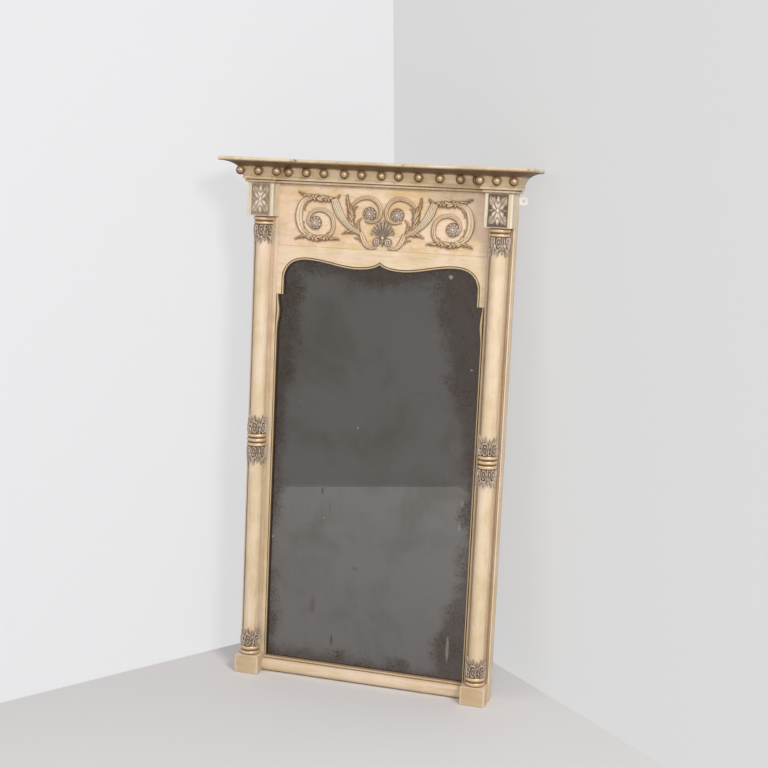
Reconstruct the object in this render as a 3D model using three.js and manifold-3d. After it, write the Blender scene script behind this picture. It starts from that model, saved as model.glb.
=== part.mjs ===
// A tall trumeau mirror with turned side columns, a carved frieze and a projecting cornice.
// Millimetres, +Z up. The mirror stands upright on its base: x is across, -y is the front,
// and the origin is on the floor under the middle of the whole mirror.
// Inside the file y = 0 is the front face of the flat boards, and the last group moves it all.

import * as THREE from 'three';
import { mergeVertices } from 'three/addons/utils/BufferGeometryUtils.js';
import Module from 'manifold-3d';

const wasm = await Module();
wasm.setup();

// ---------- Clearances ----------
const seam = 0.3; // glue line or running fit between two separate pieces
const weld = 1e-4; // vertices nearer than this are one vertex

// ---------- Carcass ----------
const totalHeight = 1200; // floor to the top of the cornice board
const frameWidth = 604; // across the outer edge mouldings
const frameDepth = 33; // face of the boards to the flat back
const edgeWidth = 4; // outer edge moulding, across
const edgeNose = 2.5; // how far its nose stands in front of the boards
const stileWidth = 54;
const lipThickness = 8; // boards in front of the glass
const rebateWidth = 8; // how far a stile's lip covers the glass
const railThickness = 16; // top and bottom rail, front to back
const topRailCover = 17; // arch panel's lap on the top rail
const bottomRailLift = 3; // bottom rail above the floor
const glassThickness = 3;
const glassLap = 10; // how far the glass stands down behind the bottom rail
const glazingStripWidth = 10;
const plankGap = 0.8;

// ---------- Opening ----------
const slipWidth = 6; // sight slips and beads round the glass
const slipProud = 1;
const sillBeadHeight = 6;
const sightSillHeight = 36.5; // floor to the visible edge of the glass
const friezeHeight = 139; // from the cornice's foot down to the frieze board's lower edge
const cuspDrop = 34; // from there down to the cusp in the middle of the arch
const cuspRise = 12.5; // cusp above the two dips beside it
const shoulderRise = 15; // shoulders above the dips
const archHeight = 80.5; // shoulders above the quirk, the step under the arch
const shoulderReach = 53; // from the arch's foot inwards to the top of its shoulder
const shoulderStraight = 40; // upright part of the arch above the quirk
const dipHalfSpan = 54;
const quirkStep = 12.5;
const waistDrop = 40; // from the quirk down to the swell of the side slips
const waistSwell = 5;
const waistHalfLength = 42;

// ---------- Base ----------
const baseBlockWidth = 57;
const baseBlockHeight = 43;
const baseBlockDepth = 41;
const sillRoundBottom = 1; // half-round of the bottom rail above the floor
const sillRoundTop = 30;
const sillRoundBulge = 13;
const sillSteps = 8;

// ---------- Columns ----------
const shaftRadius = 17;
const ringProud = 6; // rolls outside the shaft
const grooveProud = 3; // grooves between the rolls
const neckTopProud = 4.5;
const baseRingHeight = 22.5;
const midRingHeight = 32;
const neckRingHeight = 20;
const leafLength = 43;
const leafCount = 8;
const leafRootProud = 5.5; // leaves outside the shaft
const leafBellyProud = 6.5;
const leafTipProud = 4;
const leafNotch = 0.34; // depth of the cuts between the leaf tips, as a share of their length
const columnSides = 22;
const leafSides = 40;

// ---------- Die blocks and cornice ----------
const dieWidth = 61;
const dieHeight = 74.5;
const dieDepth = 46;
const dieReliefHeight = 4;
const dieLeafLength = 27;
const dieLeafWidth = 11;
const diePointLength = 15;
const dieBossRadius = 5.5;
const corniceBoardThickness = 8.5;
const boardProudFront = 10.5; // cornice board in front of the cove
const boardProudSide = 4;
const boardNosing = 2;
const coveHeight = 45.5; // from the top of a die block to the cornice board
const coveReach = 37;
const coveBeadHeight = 7;
const coveBeadReach = 5;
const coveLipHeight = 5;
const coveLipReach = 10;
const coveSteps = 6;
const centreCoveProud = 5; // centre cornice moulding in front of the boards
const ballRadius = 10.5;
const ballClear = 9; // cornice board to the tops of the balls
const ballSeat = 6; // ball centres in front of the cove's lip
const ballEndGap = 25; // die block to the outermost of the middle balls
const ballDrift = [0.7, -0.6, -2.3, 1.9, -1.1, 1.2, -3, -0.7, 3.6, 6.3, 0]; // middle balls from even places
const centreBallCount = ballDrift.length;
const blockBallCount = 3;
const leftBallSpan = 86; // between the outer two of a block's balls
const rightBallSpan = 74;
const rightBallShift = -4; // the right block's balls stand nearer to the middle

// ---------- Frieze carving ----------
const reliefHeight = 5;
const stemWidth = 7;
const rosetteRadius = 15;
const rosetteHeight = 7;
const crestWidth = 13; // leafy bar over the outer scroll
const footLeafWidth = 11;
const hornWidth = 12;
const uprightLeafWidth = 19;
const fallenLeafWidth = 9;
const carvingShift = 4.5; // the frieze's carving sits this far right of the middle
const frondCount = 9;
const frondReach = 36;
const frondWidth = 7.5;
const frondSpread = 1.9; // radians between the outermost fronds
const heartRadius = 5;
const voluteRadius = 7.5;
const voluteHalfSpan = 13.5;
const voluteDrop = 9;

// ---------- Fixings ----------
const plateThickness = 2;
const plateWidth = 16;
const plateLength = 44; // eye centre to the plate's inner end
const plateDrop = 69; // eye centre below the top of the cornice
const eyeRadius = 9.8;
const eyeHoleRadius = 4;
const eyeReach = 9.5; // eye centre outside the frame
const screwRadius = 1.6;
const screwHeadRadius = 3.4;
const screwHeadThickness = 1.2;
const screwLength = 16;
const screwInset = 12; // screw centre from the plate's inner end
const screwSides = 10;

// ---------- Places that follow from the sizes ----------
const outerX = frameWidth / 2;
const stileOuterX = outerX - edgeWidth;
const stileInnerX = stileOuterX - stileWidth;
const glassEdgeX = stileInnerX + rebateWidth - seam;
const openingX = stileInnerX - slipWidth;
const corniceUnder = totalHeight - corniceBoardThickness;
const carcassTop = corniceUnder - seam;
const dieTop = corniceUnder - coveHeight;
const dieBottom = dieTop - dieHeight;
const friezeBottom = dieTop - friezeHeight;
const cuspHeight = friezeBottom - cuspDrop;
const dipHeight = cuspHeight - cuspRise;
const shoulderHeight = dipHeight + shoulderRise;
const quirkHeight = shoulderHeight - archHeight;
const waistHeight = quirkHeight - waistDrop;
const archFootX = openingX - quirkStep;
const shoulderHalfSpan = archFootX - shoulderReach;
const columnX = stileInnerX + baseBlockWidth / 2; // base blocks line up with the stiles' inner edges
const columnY = -shaftRadius; // shafts touch the boards
const dieInnerX = columnX - dieWidth / 2;
const glassFront = lipThickness + seam;
const glassBack = glassFront + glassThickness;
const glassBottom = sightSillHeight - glassLap + seam;
const topRailBottom = friezeBottom - topRailCover;
const glassTop = topRailBottom - seam;
const railBack = glassFront + railThickness;
const plankFront = railBack + seam;
const ballHeight = corniceUnder - ballClear - ballRadius;
const ballReach = coveLipReach + ballSeat;
const boardOverhangFront = coveLipReach + coveReach + boardProudFront;
const boardOverhangSide = coveLipReach + coveReach + boardProudSide;
const baseTop = baseBlockHeight + seam;
const baseRingTop = baseTop + baseRingHeight;
const midRingBottom = (baseTop + dieBottom - midRingHeight) / 2;
const midRingTop = midRingBottom + midRingHeight;
const neckBottom = dieBottom - neckRingHeight;
const ringRadius = shaftRadius + ringProud;
const ringGroove = shaftRadius + grooveProud;
const plateHeight = totalHeight - plateDrop;
const reach = 2 * totalHeight; // size of the cutting blocks, larger than the mirror

// ---------- Materials ----------
const creamPaint = { color: 0xd9c39c, roughness: 0.62, metalness: 0 };
const dullGilt = { color: 0xb6955c, roughness: 0.42, metalness: 0.55 };
const agedCarving = { color: 0xa89a80, roughness: 0.55, metalness: 0.15 };
const rawPine = { color: 0x8a6b48, roughness: 0.8, metalness: 0 };
const oldMirror = { color: 0x6a6662, roughness: 0.12, metalness: 0.9 };
const ironWork = { color: 0x5a5650, roughness: 0.5, metalness: 0.8 };
const whitePaint = { color: 0xe6e3dc, roughness: 0.45, metalness: 0.1 };

const mirror = new THREE.Group();

function addPiece(name, geometry, finish) {
  const mesh = new THREE.Mesh(geometry, new THREE.MeshStandardMaterial(finish));
  mesh.name = name;
  mirror.add(mesh);
}

// ---------- Solids ----------
function toSolid(geometry) {
  const bare = geometry.clone();
  bare.deleteAttribute('normal');
  bare.deleteAttribute('uv');
  const welded = mergeVertices(bare, weld);
  const corners = welded.index.array;
  const kept = [];
  for (let i = 0; i < corners.length; i += 3) {
    const [a, b, c] = [corners[i], corners[i + 1], corners[i + 2]];
    if (a !== b && b !== c && c !== a) kept.push(a, b, c);
  }
  return new wasm.Manifold(new wasm.Mesh({
    numProp: 3,
    vertProperties: new Float32Array(welded.attributes.position.array),
    triVerts: new Uint32Array(kept),
  }));
}

function toGeometry(solid) {
  const mesh = solid.getMesh();
  const geometry = new THREE.BufferGeometry();
  geometry.setAttribute('position', new THREE.Float32BufferAttribute(mesh.vertProperties, 3));
  geometry.setIndex(new THREE.Uint32BufferAttribute(mesh.triVerts, 1));
  return geometry;
}

function joinAll(solids) {
  return solids.reduce((whole, next) => whole.add(next));
}

function mirrored(points) {
  return points.map(([x, z]) => [-x, z]).reverse();
}

// A box between two corners.
function block([x0, x1], [y0, y1], [z0, z1]) {
  const geometry = new THREE.BoxGeometry(x1 - x0, y1 - y0, z1 - z0);
  geometry.translate((x0 + x1) / 2, (y0 + y1) / 2, (z0 + z1) / 2);
  return geometry;
}

function outline(points) {
  return new THREE.Shape(points.map(([a, b]) => new THREE.Vector2(a, b)));
}

// An outline in x and z, given thickness from yFront to yBack.
function boardOf(points, yFront, yBack) {
  const geometry = new THREE.ExtrudeGeometry(outline(points), {
    depth: yBack - yFront, bevelEnabled: false,
  });
  geometry.rotateX(Math.PI / 2);
  geometry.translate(0, yBack, 0);
  return geometry;
}

// A section in y and z, run from x0 to x1.
function mouldingOf(section, x0, x1) {
  const geometry = new THREE.ExtrudeGeometry(outline(section), {
    depth: x1 - x0, bevelEnabled: false,
  });
  geometry.applyMatrix4(new THREE.Matrix4().makeBasis(
    new THREE.Vector3(0, 1, 0), new THREE.Vector3(0, 0, 1), new THREE.Vector3(1, 0, 0),
  ));
  geometry.translate(x0, 0, 0);
  return geometry;
}

// An outline in x and y, run up from z0 to z1.
function postOf(points, z0, z1) {
  const geometry = new THREE.ExtrudeGeometry(outline(points), {
    depth: z1 - z0, bevelEnabled: false,
  });
  geometry.translate(0, 0, z0);
  return geometry;
}

// A profile of [radius, height] pairs turned about an upright axis at x, y.
function turned(profile, sides, x, y) {
  const geometry = new THREE.LatheGeometry(
    profile.map(([radius, height]) => new THREE.Vector2(radius, height)), sides,
  );
  geometry.rotateX(Math.PI / 2);
  geometry.translate(x, y, 0);
  return geometry;
}

// A screw driven from the back, with its head flush; grow makes the hole that it sits in.
function screw(side, grow) {
  const x = outerX + eyeReach - plateLength + screwInset;
  const head = new THREE.CylinderGeometry(screwHeadRadius + grow, screwHeadRadius + grow,
    screwHeadThickness + 2 * grow, screwSides);
  head.translate(side * x, frameDepth - screwHeadThickness / 2, plateHeight);
  const shank = new THREE.CylinderGeometry(screwRadius + grow, screwRadius + grow,
    screwLength + grow, screwSides);
  shank.translate(side * x, frameDepth - (screwLength + grow) / 2, plateHeight);
  return toSolid(head).add(toSolid(shank));
}

// ---------- Stiles, rails and boards ----------
function stileOutline(side) {
  const section = [
    [stileInnerX, 0], [stileOuterX - seam, 0], [stileOuterX - seam, frameDepth],
    [glassEdgeX + seam, frameDepth], [glassEdgeX + seam, lipThickness], [stileInnerX, lipThickness],
  ];
  return side > 0 ? section : mirrored(section);
}

function edgeSection() {
  const noseBottom = baseBlockHeight + seam;
  const noseTop = dieBottom - seam;
  return [
    [0, 0], [frameDepth, 0], [frameDepth, carcassTop], [0, carcassTop],
    [0, noseTop], [-edgeNose, noseTop], [-edgeNose, noseBottom], [0, noseBottom],
  ];
}

// ---------- Opening and its beads ----------
// Half of the arch, from its foot above the quirk to the cusp in the middle.
function archPoints() {
  const path = new THREE.Path();
  path.moveTo(archFootX, quirkHeight + seam);
  path.lineTo(archFootX, quirkHeight + shoulderStraight);
  path.quadraticCurveTo(archFootX - slipWidth, shoulderHeight, shoulderHalfSpan, shoulderHeight);
  const third = (shoulderHalfSpan - dipHalfSpan) / 3;
  path.bezierCurveTo(shoulderHalfSpan - third, shoulderHeight, dipHalfSpan + third, dipHeight,
    dipHalfSpan, dipHeight);
  path.bezierCurveTo(dipHalfSpan * 0.65, dipHeight, dipHalfSpan * 0.22,
    dipHeight + (cuspHeight - dipHeight) * 0.25, 0, cuspHeight);
  const points = [];
  for (const p of path.getPoints(10)) points.push([p.x, p.y]);
  return points;
}

// The same curve moved into the wood by a distance, closed on the middle line at the cusp.
function movedArch(distance) {
  const points = archPoints();
  const last = points.length - 1;
  const moved = points.map(([x, z], i) => {
    const [ax, az] = points[Math.max(i - 1, 0)];
    const [bx, bz] = points[Math.min(i + 1, last)];
    const length = Math.hypot(bx - ax, bz - az);
    return [x + (bz - az) / length * distance, z - (bx - ax) / length * distance];
  });
  moved[0][1] = points[0][1];
  const [[ax, az], [bx, bz]] = [points[last - 1], points[last]];
  const cusp = [0, bz + distance * Math.hypot(bx - ax, bz - az) / Math.abs(bx - ax)];
  return [...moved.slice(0, last), cusp].filter(([x]) => x >= 0);
}

function wholeArch(half) {
  return [...half, ...mirrored(half).slice(1)];
}

function archBead() {
  const inner = wholeArch(archPoints());
  const outer = wholeArch(movedArch(slipWidth)).reverse();
  return boardOf([...inner, ...outer], -slipProud, lipThickness);
}

function archPanel() {
  const foot = quirkHeight + seam;
  const side = stileInnerX - seam;
  const top = friezeBottom - seam;
  const arch = wholeArch(movedArch(slipWidth + seam));
  return boardOf([[side, foot], ...arch, [-side, foot], [-side, top], [side, top]],
    0, lipThickness);
}

// A side slip: straight below, swelling inwards once near its top.
function slipOutline() {
  const outer = stileInnerX - seam;
  const swell = [];
  const steps = 8;
  for (let i = 0; i <= steps; i += 1) {
    const turn = 2 * Math.PI * i / steps;
    const z = waistHeight + waistHalfLength * (2 * i / steps - 1);
    swell.push([openingX - waistSwell * (1 - Math.cos(turn)) / 2, Math.min(z, quirkHeight)]);
  }
  return [[outer, sightSillHeight + seam], [outer, quirkHeight], [openingX, quirkHeight],
    ...swell.reverse().filter(([, z]) => z < quirkHeight), [openingX, sightSillHeight + seam]];
}

// ---------- Columns ----------
const frontHalf = () => toSolid(block([-reach, reach], [-reach, -seam], [-reach, reach]));

// The nose of an edge moulding and the seam round it, which the columns keep clear of.
function noseRoom(side) {
  const across = [side * (stileOuterX - seam), side * (outerX + seam)].sort((a, b) => a - b);
  return toSolid(block(across, [-edgeNose - seam, 0], [-reach, reach]));
}

function seatedOnBoards(geometry, side) {
  return toGeometry(toSolid(geometry).intersect(frontHalf()).subtract(noseRoom(side)));
}

// A stack of equal rolls from z0 up to z1; the last roll has its own radius.
function rolls(z0, z1, count, lastRadius) {
  const pitch = (z1 - z0) / count;
  const profile = [];
  for (let i = 0; i < count; i += 1) {
    const radius = i === count - 1 ? lastRadius : ringRadius;
    const bottom = z0 + pitch * i;
    profile.push([ringGroove, bottom], [radius, bottom + pitch * 0.3], [radius, bottom + pitch * 0.7]);
  }
  profile.push([ringGroove, z1]);
  return profile;
}

// A column turned in one piece: rolls at its foot, middle and neck, plain shaft between them.
function column(side) {
  const profile = [
    [0, baseTop],
    ...rolls(baseTop, baseRingTop, 2, ringRadius), [shaftRadius, baseRingTop],
    [shaftRadius, midRingBottom], ...rolls(midRingBottom, midRingTop, 3, ringRadius),
    [shaftRadius, midRingTop], [shaftRadius, neckBottom],
    ...rolls(neckBottom, dieBottom - seam, 2, shaftRadius + neckTopProud), [0, dieBottom - seam],
  ];
  return seatedOnBoards(turned(profile, columnSides, side * columnX, columnY), side);
}

// A collar of pointed leaves: root at z, tips up or down, wrapped round a shaft.
function leafCollar(side, z, direction) {
  const rows = (angle) => {
    const cut = Math.abs(Math.sin(leafCount * angle / 2));
    const rise = leafLength * (1 - leafNotch * cut);
    const fold = 1 - 0.06 * cut;
    const inner = shaftRadius + seam;
    return [[inner, 0], [(shaftRadius + leafRootProud) * fold, 0],
      [(shaftRadius + leafBellyProud) * fold, rise * 0.45],
      [shaftRadius + leafTipProud, rise], [inner, rise]];
  };
  const positions = [];
  const faces = [];
  const rowCount = rows(0).length;
  for (let i = 0; i < leafSides; i += 1) {
    const angle = 2 * Math.PI * i / leafSides - Math.PI / 2;
    for (const [radius, rise] of rows(angle)) {
      positions.push(side * columnX + radius * Math.cos(angle),
        columnY + radius * Math.sin(angle), z + direction * rise);
    }
    for (let row = 0; row < rowCount; row += 1) {
      const a = i * rowCount + row;
      const b = i * rowCount + (row + 1) % rowCount;
      const c = ((i + 1) % leafSides) * rowCount + (row + 1) % rowCount;
      const d = ((i + 1) % leafSides) * rowCount + row;
      if (direction > 0) faces.push(a, c, b, a, d, c);
      else faces.push(a, b, c, a, c, d);
    }
  }
  const geometry = new THREE.BufferGeometry();
  geometry.setAttribute('position', new THREE.Float32BufferAttribute(positions, 3));
  geometry.setIndex(faces);
  return seatedOnBoards(geometry, side);
}

// ---------- Cornice ----------
// The moulding's section as [reach, height] pairs, bottom to top.
function coveProfile(grow) {
  const lipTop = dieTop + coveBeadHeight + coveLipHeight;
  const rise = corniceUnder - seam - lipTop;
  const profile = [
    [coveBeadReach, dieTop + seam], [coveBeadReach, dieTop + coveBeadHeight],
    [coveLipReach, dieTop + coveBeadHeight], [coveLipReach, lipTop],
  ];
  for (let i = 1; i <= coveSteps; i += 1) {
    const turn = Math.PI / 2 * i / coveSteps;
    profile.push([coveLipReach + coveReach * (1 - Math.cos(turn)), lipTop + rise * Math.sin(turn)]);
  }
  return profile.map(([out, height]) => [out + grow, height]);
}

// The cove round a die block, widening upwards on three sides, flat against the boards behind.
function blockCove(side, grow) {
  const levels = coveProfile(grow);
  const positions = [];
  const faces = [];
  for (const [out, height] of levels) {
    const inner = dieInnerX - out;
    const outer = dieInnerX + dieWidth + out;
    const front = -dieDepth - out;
    for (const [x, y] of [[inner, front], [outer, front], [outer, frameDepth], [inner, frameDepth]]) {
      positions.push(x, y, height);
    }
  }
  for (let level = 0; level < levels.length - 1; level += 1) {
    for (let i = 0; i < 4; i += 1) {
      const a = level * 4 + i;
      const b = level * 4 + (i + 1) % 4;
      faces.push(a, b, b + 4, a, b + 4, a + 4);
    }
  }
  const top = (levels.length - 1) * 4;
  faces.push(0, 2, 1, 0, 3, 2, top, top + 1, top + 2, top, top + 2, top + 3);
  const geometry = new THREE.BufferGeometry();
  geometry.setAttribute('position', new THREE.Float32BufferAttribute(positions, 3));
  geometry.setIndex(faces);
  const frame = block([-reach, outerX + seam], [-seam, reach], [-reach, reach]);
  const cove = toSolid(geometry).subtract(toSolid(frame));
  return side > 0 ? cove : cove.mirror([1, 0, 0]);
}

function centreCove(grow) {
  const section = coveProfile(grow).map(([out, height]) => [-centreCoveProud - out, height]);
  const back = [[-seam, section[section.length - 1][1]], [-seam, section[0][1]]];
  const half = dieInnerX - coveBeadReach - seam;
  let cove = toSolid(mouldingOf([...section, ...back].reverse(), -half, half));
  for (const side of [-1, 1]) cove = cove.subtract(blockCove(side, seam));
  return cove;
}

function corniceBoard() {
  const outer = dieInnerX + dieWidth + boardOverhangSide - boardNosing;
  const inner = dieInnerX - boardOverhangFront + boardNosing;
  const front = -dieDepth - boardOverhangFront + boardNosing;
  const recess = -centreCoveProud - boardOverhangFront + boardNosing;
  const back = frameDepth - boardNosing;
  const shape = outline([[-outer, back], [-outer, front], [-inner, front], [-inner, recess],
    [inner, recess], [inner, front], [outer, front], [outer, back]]);
  const geometry = new THREE.ExtrudeGeometry(shape, {
    depth: corniceBoardThickness - 2 * boardNosing,
    bevelEnabled: true, bevelThickness: boardNosing, bevelSize: boardNosing, bevelSegments: 1,
  });
  geometry.translate(0, 0, corniceUnder + boardNosing);
  return geometry;
}

// A half-embedded wooden ball, cut to fit the cove behind it.
function addBall(name, [x, y], seat) {
  const ball = new THREE.SphereGeometry(ballRadius, 12, 8);
  ball.rotateX(Math.PI / 2);
  ball.translate(x, y, ballHeight);
  addPiece(name, toGeometry(toSolid(ball).subtract(seat)), dullGilt);
}

function centreBallPlaces() {
  const y = -centreCoveProud - ballReach;
  const end = dieInnerX - ballEndGap;
  return ballDrift.map((drift, i) => [end * (2 * i / (centreBallCount - 1) - 1) + drift, y]);
}

function blockBallPlaces(side) {
  const y = -dieDepth - ballReach;
  const [middle, span] = side > 0 ? [columnX + rightBallShift, rightBallSpan] : [-columnX, leftBallSpan];
  return Array.from({ length: blockBallCount },
    (_, i) => [middle + span * (i / (blockBallCount - 1) - 0.5), y]);
}

// ---------- Carving ----------
// A stem of trapezoid section along a smooth line of [x, z] points on a face at yFace.
function stem(points, width, height, yFace, steps) {
  const line = new THREE.CatmullRomCurve3(
    points.map(([x, z]) => new THREE.Vector3(x, 0, z)), false, 'centripetal',
  );
  const path = line.getSpacedPoints(steps);
  const section = [[-width / 2, 0], [-width * 0.32, height], [width * 0.32, height], [width / 2, 0]];
  const positions = [];
  const faces = [];
  path.forEach((point, i) => {
    const ahead = path[Math.min(i + 1, steps)].clone().sub(path[Math.max(i - 1, 0)]).normalize();
    for (const [across, up] of section) {
      positions.push(point.x - ahead.z * across, yFace - up, point.z + ahead.x * across);
    }
    if (i === steps) return;
    for (let k = 0; k < 4; k += 1) {
      const a = i * 4 + k;
      const b = i * 4 + (k + 1) % 4;
      faces.push(a, a + 4, b + 4, a, b + 4, b);
    }
  });
  const end = steps * 4;
  faces.push(0, 1, 2, 0, 2, 3, end, end + 2, end + 1, end, end + 3, end + 2);
  const geometry = new THREE.BufferGeometry();
  geometry.setAttribute('position', new THREE.Float32BufferAttribute(positions, 3));
  geometry.setIndex(faces);
  return toSolid(geometry);
}

// A leaf blade from its root to its tip, widest a third of the way along.
function blade([rx, rz], [tx, tz], width, height, yFace) {
  const [dx, dz] = [tx - rx, tz - rz];
  const length = Math.hypot(dx, dz);
  const [nx, nz] = [-dz / length, dx / length];
  const at = (along, across) => [rx + dx * along + nx * across * width / 2,
    rz + dz * along + nz * across * width / 2];
  const points = [at(0, 0.45), at(0, -0.45), at(0.35, -1), at(0.75, -0.7), at(1, 0), at(0.75, 0.7),
    at(0.35, 1)];
  return toSolid(boardOf(points.reverse(), yFace - height, yFace));
}

// A flat dome that faces forwards.
function boss([x, z], radius, height, yFace, sides) {
  const profile = [[0, 0], [radius, 0], [radius * 0.85, height * 0.6], [radius * 0.45, height],
    [0, height]];
  const geometry = new THREE.LatheGeometry(
    profile.map(([r, h]) => new THREE.Vector2(r, h)), sides,
  );
  geometry.rotateZ(Math.PI);
  geometry.translate(x, yFace, z);
  return toSolid(geometry);
}

// The frieze's carving is drawn in hundredths: across of the half frieze, up of its height.
const onFrieze = ([across, up]) => [dieInnerX * across / 100, friezeBottom + friezeHeight * up / 100];

// Half of the frieze's scrollwork: an outer scroll, a fluted horn and an inner scroll.
function scrollwork(side) {
  const knot = [20.5, 24.5]; // where the stems spring from one another
  const outerLine = [[43, 80.5], [51.5, 79], [62, 80.5], [72.5, 78.5], [80, 68.5], [82.5, 47],
    [80, 26.5], [72.5, 18.5], [62, 17.5], [52, 21], [46.5, 35], [50, 52], [60.5, 59.5],
    [69, 55.5], [72.5, 44.5], [69.5, 39]];
  const innerLine = [[30.5, 67], [25.5, 75.5], [20, 80], [14, 81.5], [7.5, 76], [3.5, 66],
    [3, 56], [6, 48], [12, 45.5], [17.5, 48]];
  const crest = [[82.5, 85.5], [62, 81.5], [41.5, 84]];
  const footLeaves = [[84, 14.5], [63, 15], [42, 13]];
  const horn = [[46.5, 78.5], [44.5, 67], [41, 52.5], [34.5, 39.5], [27.5, 29.5], knot];
  const tendril = [knot, [18, 12], [13, 4.5], [7, 3.5]];
  const leafRoot = onFrieze([27.5, 32.5]);
  const stemAlong = (line, width, height, steps) => stem(line.map(onFrieze), width, height, -seam, steps);
  const whole = joinAll([
    stemAlong(outerLine, stemWidth, reliefHeight, 34),
    stemAlong(crest, crestWidth, reliefHeight * 0.9, 4),
    stemAlong(footLeaves, footLeafWidth, reliefHeight * 0.9, 4),
    boss(onFrieze([65.5, 39]), rosetteRadius, rosetteHeight, -seam, 14),
    stemAlong(innerLine, stemWidth, reliefHeight, 22),
    stemAlong(horn, hornWidth, reliefHeight, 8),
    blade(leafRoot, onFrieze([35.5, 86.5]), uprightLeafWidth, reliefHeight * 0.9, -seam),
    blade(leafRoot, onFrieze([38, 24.5]), fallenLeafWidth, reliefHeight * 0.7, -seam),
    stemAlong(tendril, stemWidth, reliefHeight, 10),
    boss(onFrieze([13, 57]), rosetteRadius, rosetteHeight, -seam, 14),
  ]);
  const half = side > 0 ? whole : whole.mirror([1, 0, 0]);
  return toGeometry(half.translate([carvingShift, 0, 0]));
}

function anthemion() {
  const [cx, cz] = onFrieze([0, 20]);
  const fronds = Array.from({ length: frondCount }, (_, i) => {
    const turn = frondSpread * (i / (frondCount - 1) - 0.5);
    const length = frondReach * (1 - 0.22 * Math.abs(Math.sin(turn)));
    const tip = [cx + length * Math.sin(turn), cz + length * Math.cos(turn)];
    return blade([cx, cz], tip, frondWidth, reliefHeight, -seam);
  });
  const parts = [...fronds, boss([cx, cz], heartRadius, rosetteHeight, -seam, 10)];
  for (const side of [-1, 1]) {
    const curl = [cx + side * voluteHalfSpan, cz - voluteDrop];
    parts.push(boss(curl, voluteRadius, reliefHeight, -seam, 10));
    parts.push(stem([[cx, cz], curl], voluteRadius, reliefHeight * 0.9, -seam, 2));
  }
  return joinAll(parts).translate([carvingShift, 0, 0]);
}

function dieOrnament(side) {
  const face = -dieDepth - seam;
  const centre = [columnX, (dieTop + dieBottom) / 2];
  const leaf = (turn, length, width) => blade(centre,
    [centre[0] + length * Math.sin(turn), centre[1] + length * Math.cos(turn)],
    width, dieReliefHeight, face);
  const diagonals = [0.62, Math.PI - 0.62, Math.PI + 0.62, 2 * Math.PI - 0.62];
  const parts = diagonals.map((turn) => leaf(turn, dieLeafLength * 1.15, dieLeafWidth));
  for (const turn of [0, Math.PI]) parts.push(leaf(turn, dieLeafLength, dieLeafWidth * 0.8));
  for (const turn of [Math.PI / 2, -Math.PI / 2]) {
    parts.push(leaf(turn, diePointLength, dieLeafWidth * 0.7));
  }
  parts.push(boss(centre, dieBossRadius, dieReliefHeight * 1.5, face, 10));
  const whole = joinAll(parts);
  return toGeometry(side > 0 ? whole : whole.mirror([1, 0, 0]));
}

// ---------- Fixings ----------
// A flat strap let into the back of a stile, with a round eye outside the frame.
function hangingPlate(side, grow) {
  const eyeX = outerX + eyeReach;
  const strap = block([eyeX - plateLength - grow, eyeX],
    [frameDepth - plateThickness - grow, frameDepth + grow * 2],
    [plateHeight - plateWidth / 2 - grow, plateHeight + plateWidth / 2 + grow]);
  const eye = new THREE.CylinderGeometry(eyeRadius + grow, eyeRadius + grow,
    plateThickness + grow * 3, 20);
  eye.translate(eyeX, frameDepth - plateThickness / 2 + grow / 2, plateHeight);
  const plate = toSolid(strap).add(toSolid(eye));
  return side > 0 ? plate : plate.mirror([1, 0, 0]);
}

function eyeHole(side) {
  const hole = new THREE.CylinderGeometry(eyeHoleRadius, eyeHoleRadius, plateThickness * 4, 16);
  hole.translate(side * (outerX + eyeReach), frameDepth, plateHeight);
  return toSolid(hole);
}

// ---------- Bottom rail ----------
// One moulded rail: a half-round on its front, a bead along its top and a step for the glass.
function bottomRail() {
  const front = stileInnerX - seam;
  const lip = block([-front, front], [0, glassFront], [bottomRailLift, sightSillHeight]);
  const body = block([-glassEdgeX, glassEdgeX], [glassFront, railBack],
    [bottomRailLift, glassBottom - seam]);
  const bead = block([-front, front], [-slipProud, glassFront],
    [sightSillHeight - sillBeadHeight, sightSillHeight]);
  const middle = (sillRoundTop + sillRoundBottom) / 2;
  const radius = (sillRoundTop - sillRoundBottom) / 2;
  const section = [[seam, sillRoundBottom + radius]];
  for (let i = 0; i <= sillSteps; i += 1) {
    const turn = Math.PI * i / sillSteps;
    section.push([-sillRoundBulge * Math.sin(turn), middle + radius * Math.cos(turn)]);
  }
  const round = mouldingOf(section, -front, front);
  return joinAll([lip, body, bead, round].map(toSolid));
}

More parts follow.
